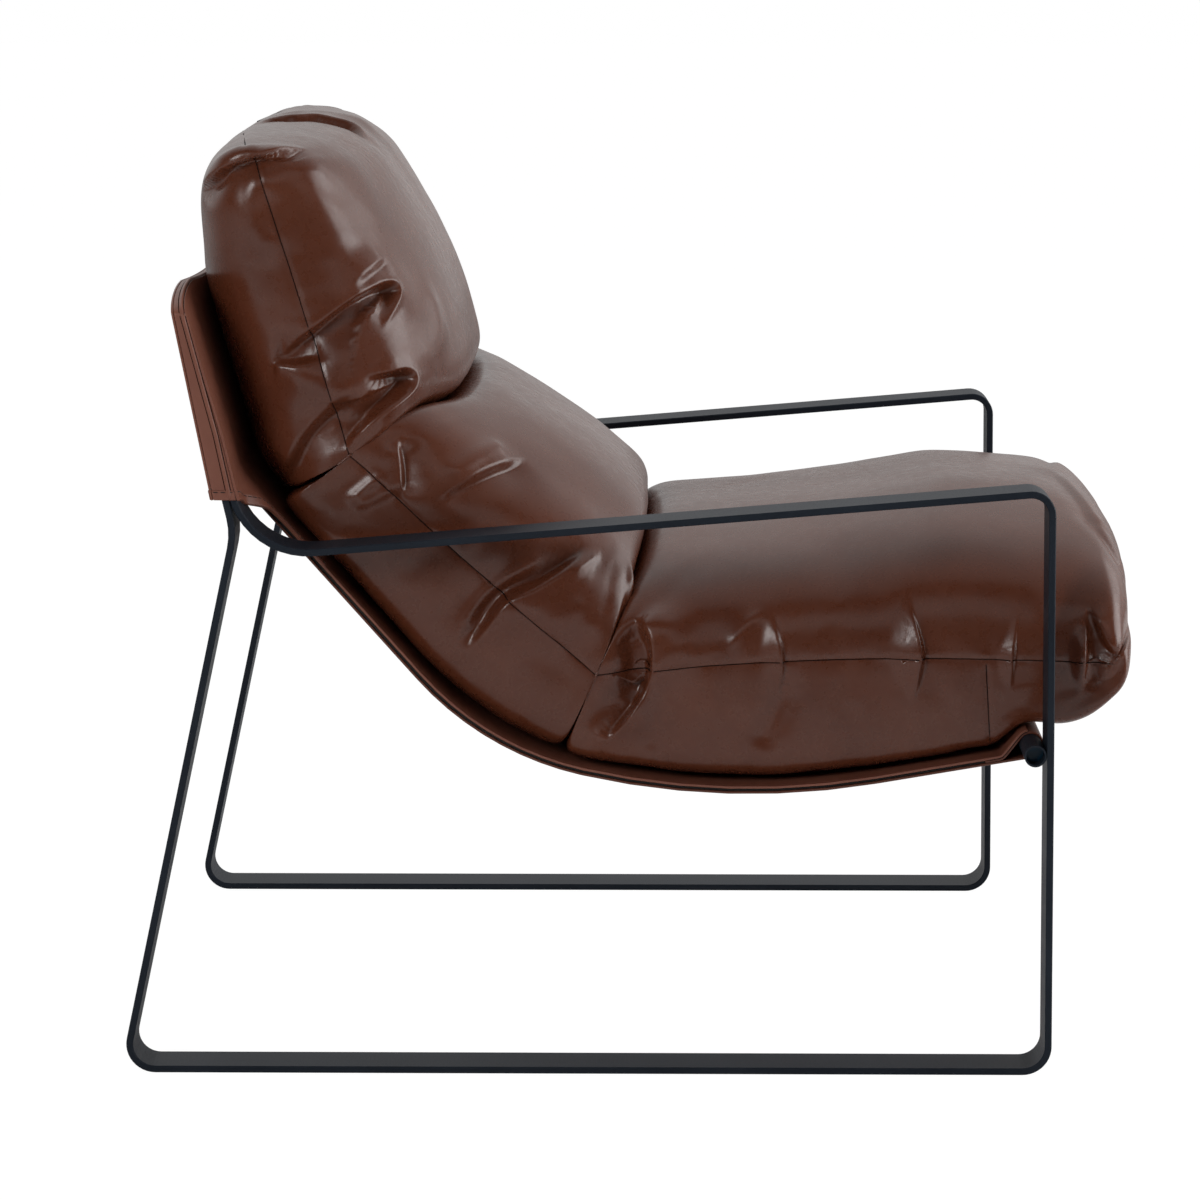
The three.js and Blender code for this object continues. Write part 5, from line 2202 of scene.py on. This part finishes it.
@dataclass
class Stage:
    """The pale floor, the white surround and the lamps."""

    floor_size: float = 40.0
    floor_colour: Colour = (0.85, 0.85, 0.85)
    floor_shade: Colour = (0.1, 0.1, 0.1)
    floor_glow: float = 0.97
    ambient: float = 0.04
    backdrop: float = 0.68
    fade: tuple[float, float] = (-0.3, 0.5)
    lamps: tuple[Softbox, ...] = (
        Softbox("overhead", (0.4, 0.6, 3.2), (4.6, 4.2), 17.0),
        Softbox("front", (3.2, -0.1, 1.2), (2.2, 2.2), 62.0),
        Softbox("rim", (2.7, 1.6, 1.9), (1.5, 1.5), 9.0, aim=(0.4, 0.0, 0.4)),
        Softbox("camera_side", (-2.4, -3.5, 2.2), (1.1, 1.5), 56.0),
        Softbox("floor_wash", (0.2, -2.0, 1.7), (3.0, 1.2), 6.0, aim=(0.2, -1.6, 0.0)),
    )

    def build(self) -> None:
        """Makes the stage."""
        for lamp in self.lamps:
            lamp.make()
        self.make_world()
        self.make_floor()
        bpy.context.scene.view_settings.view_transform = "Standard"

    def seen_directly(self, nodes: NodeTree) -> Socket:
        """Tells rays from the camera, straight or through glass, from the others.

        Args:
            nodes: The nodes to add to.

        Returns:
            One for those rays and nought for the others.
        """
        path = nodes.add("ShaderNodeLightPath")
        return nodes.combine("MAXIMUM", path.outputs["Is Camera Ray"], path.outputs["Is Transmission Ray"])

    def make_world(self) -> None:
        """A white surround to the eye that lights the chair softly."""
        world = bpy.data.worlds.new("surround")
        bpy.context.scene.world = world
        world.use_nodes = True
        nodes = NodeTree(world.node_tree)
        toward = nodes.add("ShaderNodeSeparateXYZ", Vector=nodes.add("ShaderNodeTexCoord").outputs["Generated"])
        glow = nodes.ramp(toward.outputs["Y"], *self.fade, self.ambient, self.backdrop)
        light = nodes.add("ShaderNodeBackground", Color=WHITE, Strength=glow)
        white = nodes.add("ShaderNodeBackground", Color=WHITE, Strength=1.0)
        seen = self.seen_directly(nodes)
        both = nodes.blend(seen, light.outputs["Background"], white.outputs["Background"])
        nodes.add("ShaderNodeOutputWorld", Surface=both)

    def make_floor(self) -> None:
        """A pale floor that keeps the chair's shadow."""
        half = self.floor_size / 2
        corners = np.array([(-half, -half, 0), (half, -half, 0), (half, half, 0), (-half, half, 0)], float)
        material, nodes = new_material("pale_floor")
        matt = nodes.add("ShaderNodeBsdfDiffuse", Color=(*self.floor_colour, 1.0))
        faint = nodes.add("ShaderNodeBsdfDiffuse", Color=(*self.floor_shade, 1.0))
        glow = nodes.add("ShaderNodeEmission", Color=WHITE, Strength=self.floor_glow)
        both = nodes.add("ShaderNodeAddShader")
        nodes.tree.links.new(faint.outputs["BSDF"], both.inputs[0])
        nodes.tree.links.new(glow.outputs["Emission"], both.inputs[1])
        seen = nodes.blend(self.seen_directly(nodes), matt.outputs["BSDF"], both.outputs["Shader"])
        nodes.add("ShaderNodeOutputMaterial", Surface=seen)
        mesh = bpy.data.meshes.new("floor")
        mesh.from_pydata(corners.tolist(), [], [(0, 1, 2, 3)])
        mesh.materials.append(material)
        floor = put("floor", mesh)


# Steel frame


@dataclass
class SteelFrame:
    """The bent bars, the tube and its fixings, which keep their solids."""

    palette: Palette
    coated: tuple[str, ...] = (
        "side_frame_left", "side_frame_right", "back_top_rail", "front_stretcher",
        "stretcher_screw_left", "stretcher_screw_right",
    )
    moulded: tuple[str, ...] = ("stretcher_insert_left", "stretcher_insert_right")
    crease: float = 32.0

    def build(self) -> None:
        """Dresses the solids."""
        for name in self.coated:
            self.dress(name, self.palette(COAT))
        for name in self.moulded:
            self.dress(name, self.palette(NYLON_AND_GLINT))

    def dress(self, name: str, material: Material) -> None:
        """Gives a solid its finish and smooth bends.

        Args:
            name: The solid's node.
            material: Its finish.
        """
        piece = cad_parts[name]
        piece.data.materials.clear()
        piece.data.materials.append(material)
        piece.data.shade_smooth()
        split = piece.modifiers.new("split_edges", "EDGE_SPLIT")
        split.split_angle = math.radians(self.crease)
        LOG.info("%s dressed", name)


HEAD_FOLDS = (
    Fold("top_lens", Profile.LIP, 9 * MM, 11 * MM,
         ((376, 131), (355, 122), (330, 117), (300, 115), (266, 119)), soft=0.6),
    Fold("rear_pocket", Profile.LIP, 9 * MM, 8 * MM,
         ((203, 190), (224, 170), (243, 160), (285, 153), (308, 149)), soft=0.5),
    Fold("rear_swell", Profile.SWELL, 4.5 * MM, 15 * MM, ((256, 186), (250, 200), (254, 222), (264, 240))),
    Fold("front_band", Profile.SWELL, 2.5 * MM, 20 * MM, ((312, 172), (324, 205), (336, 233))),
    Fold("mid_swell", Profile.SWELL, 5 * MM, 22 * MM, ((340, 362), (354, 378))),
    Fold("short_crease", Profile.LIP, 3 * MM, 8 * MM, ((350, 286), (366, 273), (384, 258))),
    Fold("upper_tongue", Profile.LIP, 11 * MM, 14 * MM,
         ((278, 362), (293, 345), (320, 325), (348, 303), (368, 292), (384, 284), (392, 285), (394, 292),
          (389, 307), (379, 326)), taper=0.25, soft=0.5),
    Fold("upper_rim", Profile.RIDGE, 2 * MM, 4 * MM,
         ((378, 284), (391, 281), (398, 290), (393, 308), (380, 332))),
    Fold("lower_rim", Profile.RIDGE, 2 * MM, 4 * MM,
         ((398, 368), (408, 368), (414, 377), (406, 393), (384, 411), (366, 428))),
    Fold("crow_foot", Profile.LIP, 7 * MM, 9 * MM,
         ((330, 357), (312, 361), (292, 364), (272, 362)), taper=0.6, close=0.15, soft=0.7),
    Fold("foot_bulge", Profile.SWELL, 4 * MM, 15 * MM, ((304, 379), (322, 383), (340, 390))),
    Fold("lower_tongue", Profile.LIP, 11 * MM, 13 * MM,
         ((360, 377), (385, 375), (402, 370), (410, 377), (402, 391), (380, 408), (364, 424), (352, 436),
          (340, 456)), taper=0.25, soft=0.5),
    Fold("low_ridge", Profile.LIP, 8 * MM, 13 * MM,
         ((286, 478), (296, 452), (308, 432), (324, 416), (354, 388)), soft=0.8),
    Fold("crown_ridge", Profile.SWELL, 3 * MM, 17 * MM, ((433, 305), (440, 335), (428, 356))),
)
LUMBAR_FOLDS = (
    Fold("upper_dent", Profile.LIP, 6 * MM, 9 * MM, ((403, 500), (403, 468), (398, 436)), soft=0.7),
    Fold("seam_crest", Profile.RIDGE, 3 * MM, 7 * MM, ((346, 505), (365, 488), (386, 471))),
    Fold("seam_crest_low", Profile.RIDGE, 2 * MM, 7 * MM, ((350, 508), (375, 498), (401, 485))),
    Fold("upper_ridge", Profile.LIP, 6 * MM, 11 * MM,
         ((434, 504), (470, 481), (495, 468), (528, 459)), soft=0.7),
    Fold("faint_ridge", Profile.SWELL, 2.5 * MM, 9 * MM, ((456, 469), (474, 456), (494, 448))),
    Fold("long_fold", Profile.LIP, 11 * MM, 12 * MM,
         ((592, 545), (560, 570), (530, 588), (508, 595), (497, 606), (484, 626), (462, 656)), soft=0.7),
    Fold("long_crest", Profile.RIDGE, 4 * MM, 8 * MM,
         ((550, 554), (525, 567), (505, 580), (489, 590), (476, 606), (463, 625), (450, 647))),
    Fold("fold_bulge", Profile.SWELL, 6 * MM, 20 * MM, ((516, 612), (532, 614), (548, 622))),
    Fold("small_bulge", Profile.SWELL, 3.5 * MM, 14 * MM, ((584, 610), (590, 620))),
    Fold("thin_ridge", Profile.RIDGE, 2 * MM, 5 * MM, ((602, 551), (584, 564), (568, 578))),
    Fold("end_rim", Profile.RIDGE, 4 * MM, 4 * MM,
         ((631, 555), (629, 588), (622, 617), (610, 645), (598, 669))),
)
SEAT_FOLDS = (
    Fold("rear_lip", Profile.LIP, 13 * MM, 11 * MM,
         ((632, 619), (643, 630), (650, 646), (651, 664), (646, 684), (637, 702), (620, 725),
          (602, 742)), taper=0.12, soft=0.45),
    Fold("rear_hollow", Profile.SWELL, -5 * MM, 10 * MM, ((630, 645), (634, 664), (630, 688))),
    Fold("rear_cheek", Profile.SWELL, 4 * MM, 16 * MM, ((668, 632), (678, 646))),
    Fold("rear_lobe", Profile.SWELL, 4 * MM, 11 * MM, ((626, 704), (616, 722), (604, 736))),
    Fold("shell_arm", Profile.RIDGE, 2 * MM, 7 * MM, ((726, 652), (743, 628), (757, 616), (768, 614))),
    Fold("shell", Profile.PLEAT, 6 * MM, 22 * MM,
         ((764, 607), (772, 620), (779, 638), (783, 656), (782, 676),
          (778, 704)), taper=0.5, close=0.5, narrow=0.3),
    Fold("leaf", Profile.PLEAT, 9 * MM, 32 * MM,
         ((907, 592), (912, 612), (918, 634), (922, 655), (919, 676),
          (912, 708)), taper=0.52, close=0.48, narrow=0.2),
    Fold("small_pucker", Profile.PLEAT, 5 * MM, 15 * MM,
         ((1018, 614), (1015, 640), (1013, 660), (1010, 696)), taper=0.55, close=0.45, narrow=0.3),
    Fold("front_pucker", Profile.PLEAT, 6 * MM, 17 * MM,
         ((1086, 606), (1087, 630), (1086, 657), (1082, 698)), taper=0.5, close=0.5, narrow=0.4),
    Fold("front_hollow", Profile.VALLEY, 3 * MM, 6 * MM,
         ((1093, 622), (1095, 640), (1096, 664), (1093, 694))),
    Fold("front_curl", Profile.LIP, 7 * MM, 7 * MM,
         ((1088, 609), (1097, 623), (1104, 643), (1121, 659)), soft=0.6),
    Fold("rear_valley", Profile.SWELL, -4 * MM, 13 * MM, ((664, 690), (660, 712), (650, 738))),
    Fold("second_valley", Profile.SWELL, -4 * MM, 12 * MM, ((784, 698), (776, 715), (764, 736))),
    Fold("upper_front_wrinkle", Profile.LIP, 3 * MM, 10 * MM,
         ((1052, 470), (1075, 493), (1095, 520), (1121, 545))),
    Fold("lower_front_wrinkle", Profile.LIP, 3 * MM, 10 * MM,
         ((1085, 508), (1105, 535), (1120, 560), (1127, 590))),
)
HEAD_BULGES = (Bulge("top_rear", -663 * MM, 519 * MM, -3 * MM, 34 * MM),)
SEAT_BULGES = (
    Bulge("front_under", 50 * MM, 12 * MM, -5 * MM, 28 * MM),
    Bulge("front_corner", 73 * MM, 27 * MM, -6 * MM, 22 * MM),
    Bulge("top_front", -43 * MM, 198 * MM, 6 * MM, 65 * MM),
    Bulge("top_corner", 66 * MM, 176 * MM, 4 * MM, 42 * MM),
    Bulge("hem_fill", -34 * MM, 0 * MM, 8 * MM, 20 * MM),
)
HEAD_SEAMS = (SewnLine("top_seam", ((243, 131), (245, 142), (246, 154))),)
SEAT_SEAMS = (SewnLine("corner_seam", ((986, 664), (988, 705), (990, 742))),)


@dataclass
class Pad:
    """The three cushions that lie in the sling, with a crease between neighbours."""

    view: SideView
    palette: Palette
    camera: PhotoView

    def build(self) -> None:
        """Makes the cushions."""
        view = self.view
        upper, lower = view.head_crease(), view.seat_crease()
        upper_seam = upper.start_at(view.seam_share * view.head_crease_length)
        lower_seam = lower.start_at(view.seam_share * view.seat_crease_length)
        shared = (view, self.palette, self.camera)
        lifts = (CreaseLift(upper),)
        Cushion(
            "head_cushion", *shared, view.head_seam_top(), upper_seam, creases=(upper,), folds=HEAD_FOLDS,
            sewn=HEAD_SEAMS, bulges=HEAD_BULGES, lifts=lifts,
        ).build()
        Cushion(
            "lumbar_cushion", *shared, upper_seam, lower_seam, creases=(upper, lower), folds=LUMBAR_FOLDS,
            lifts=lifts, lower_power=9.0,
        ).build()
        Cushion(
            "seat_cushion", *shared, lower_seam, view.seat_seam_front(), creases=(lower,), folds=SEAT_FOLDS,
            sewn=SEAT_SEAMS, bulges=SEAT_BULGES, lower_power=14.0, seam_arch=9 * MM,
        ).build()


def main() -> None:
    """Builds the scene."""
    logging.basicConfig(level=logging.INFO, format="%(name)s: %(message)s")
    view = SideView()
    palette = Palette()
    camera = PhotoView()
    camera.make()
    Stage().build()
    SteelFrame(palette).build()
    Sling(view, palette).build()
    Pad(view, palette, camera).build()


if __name__ == "__main__":
    main()
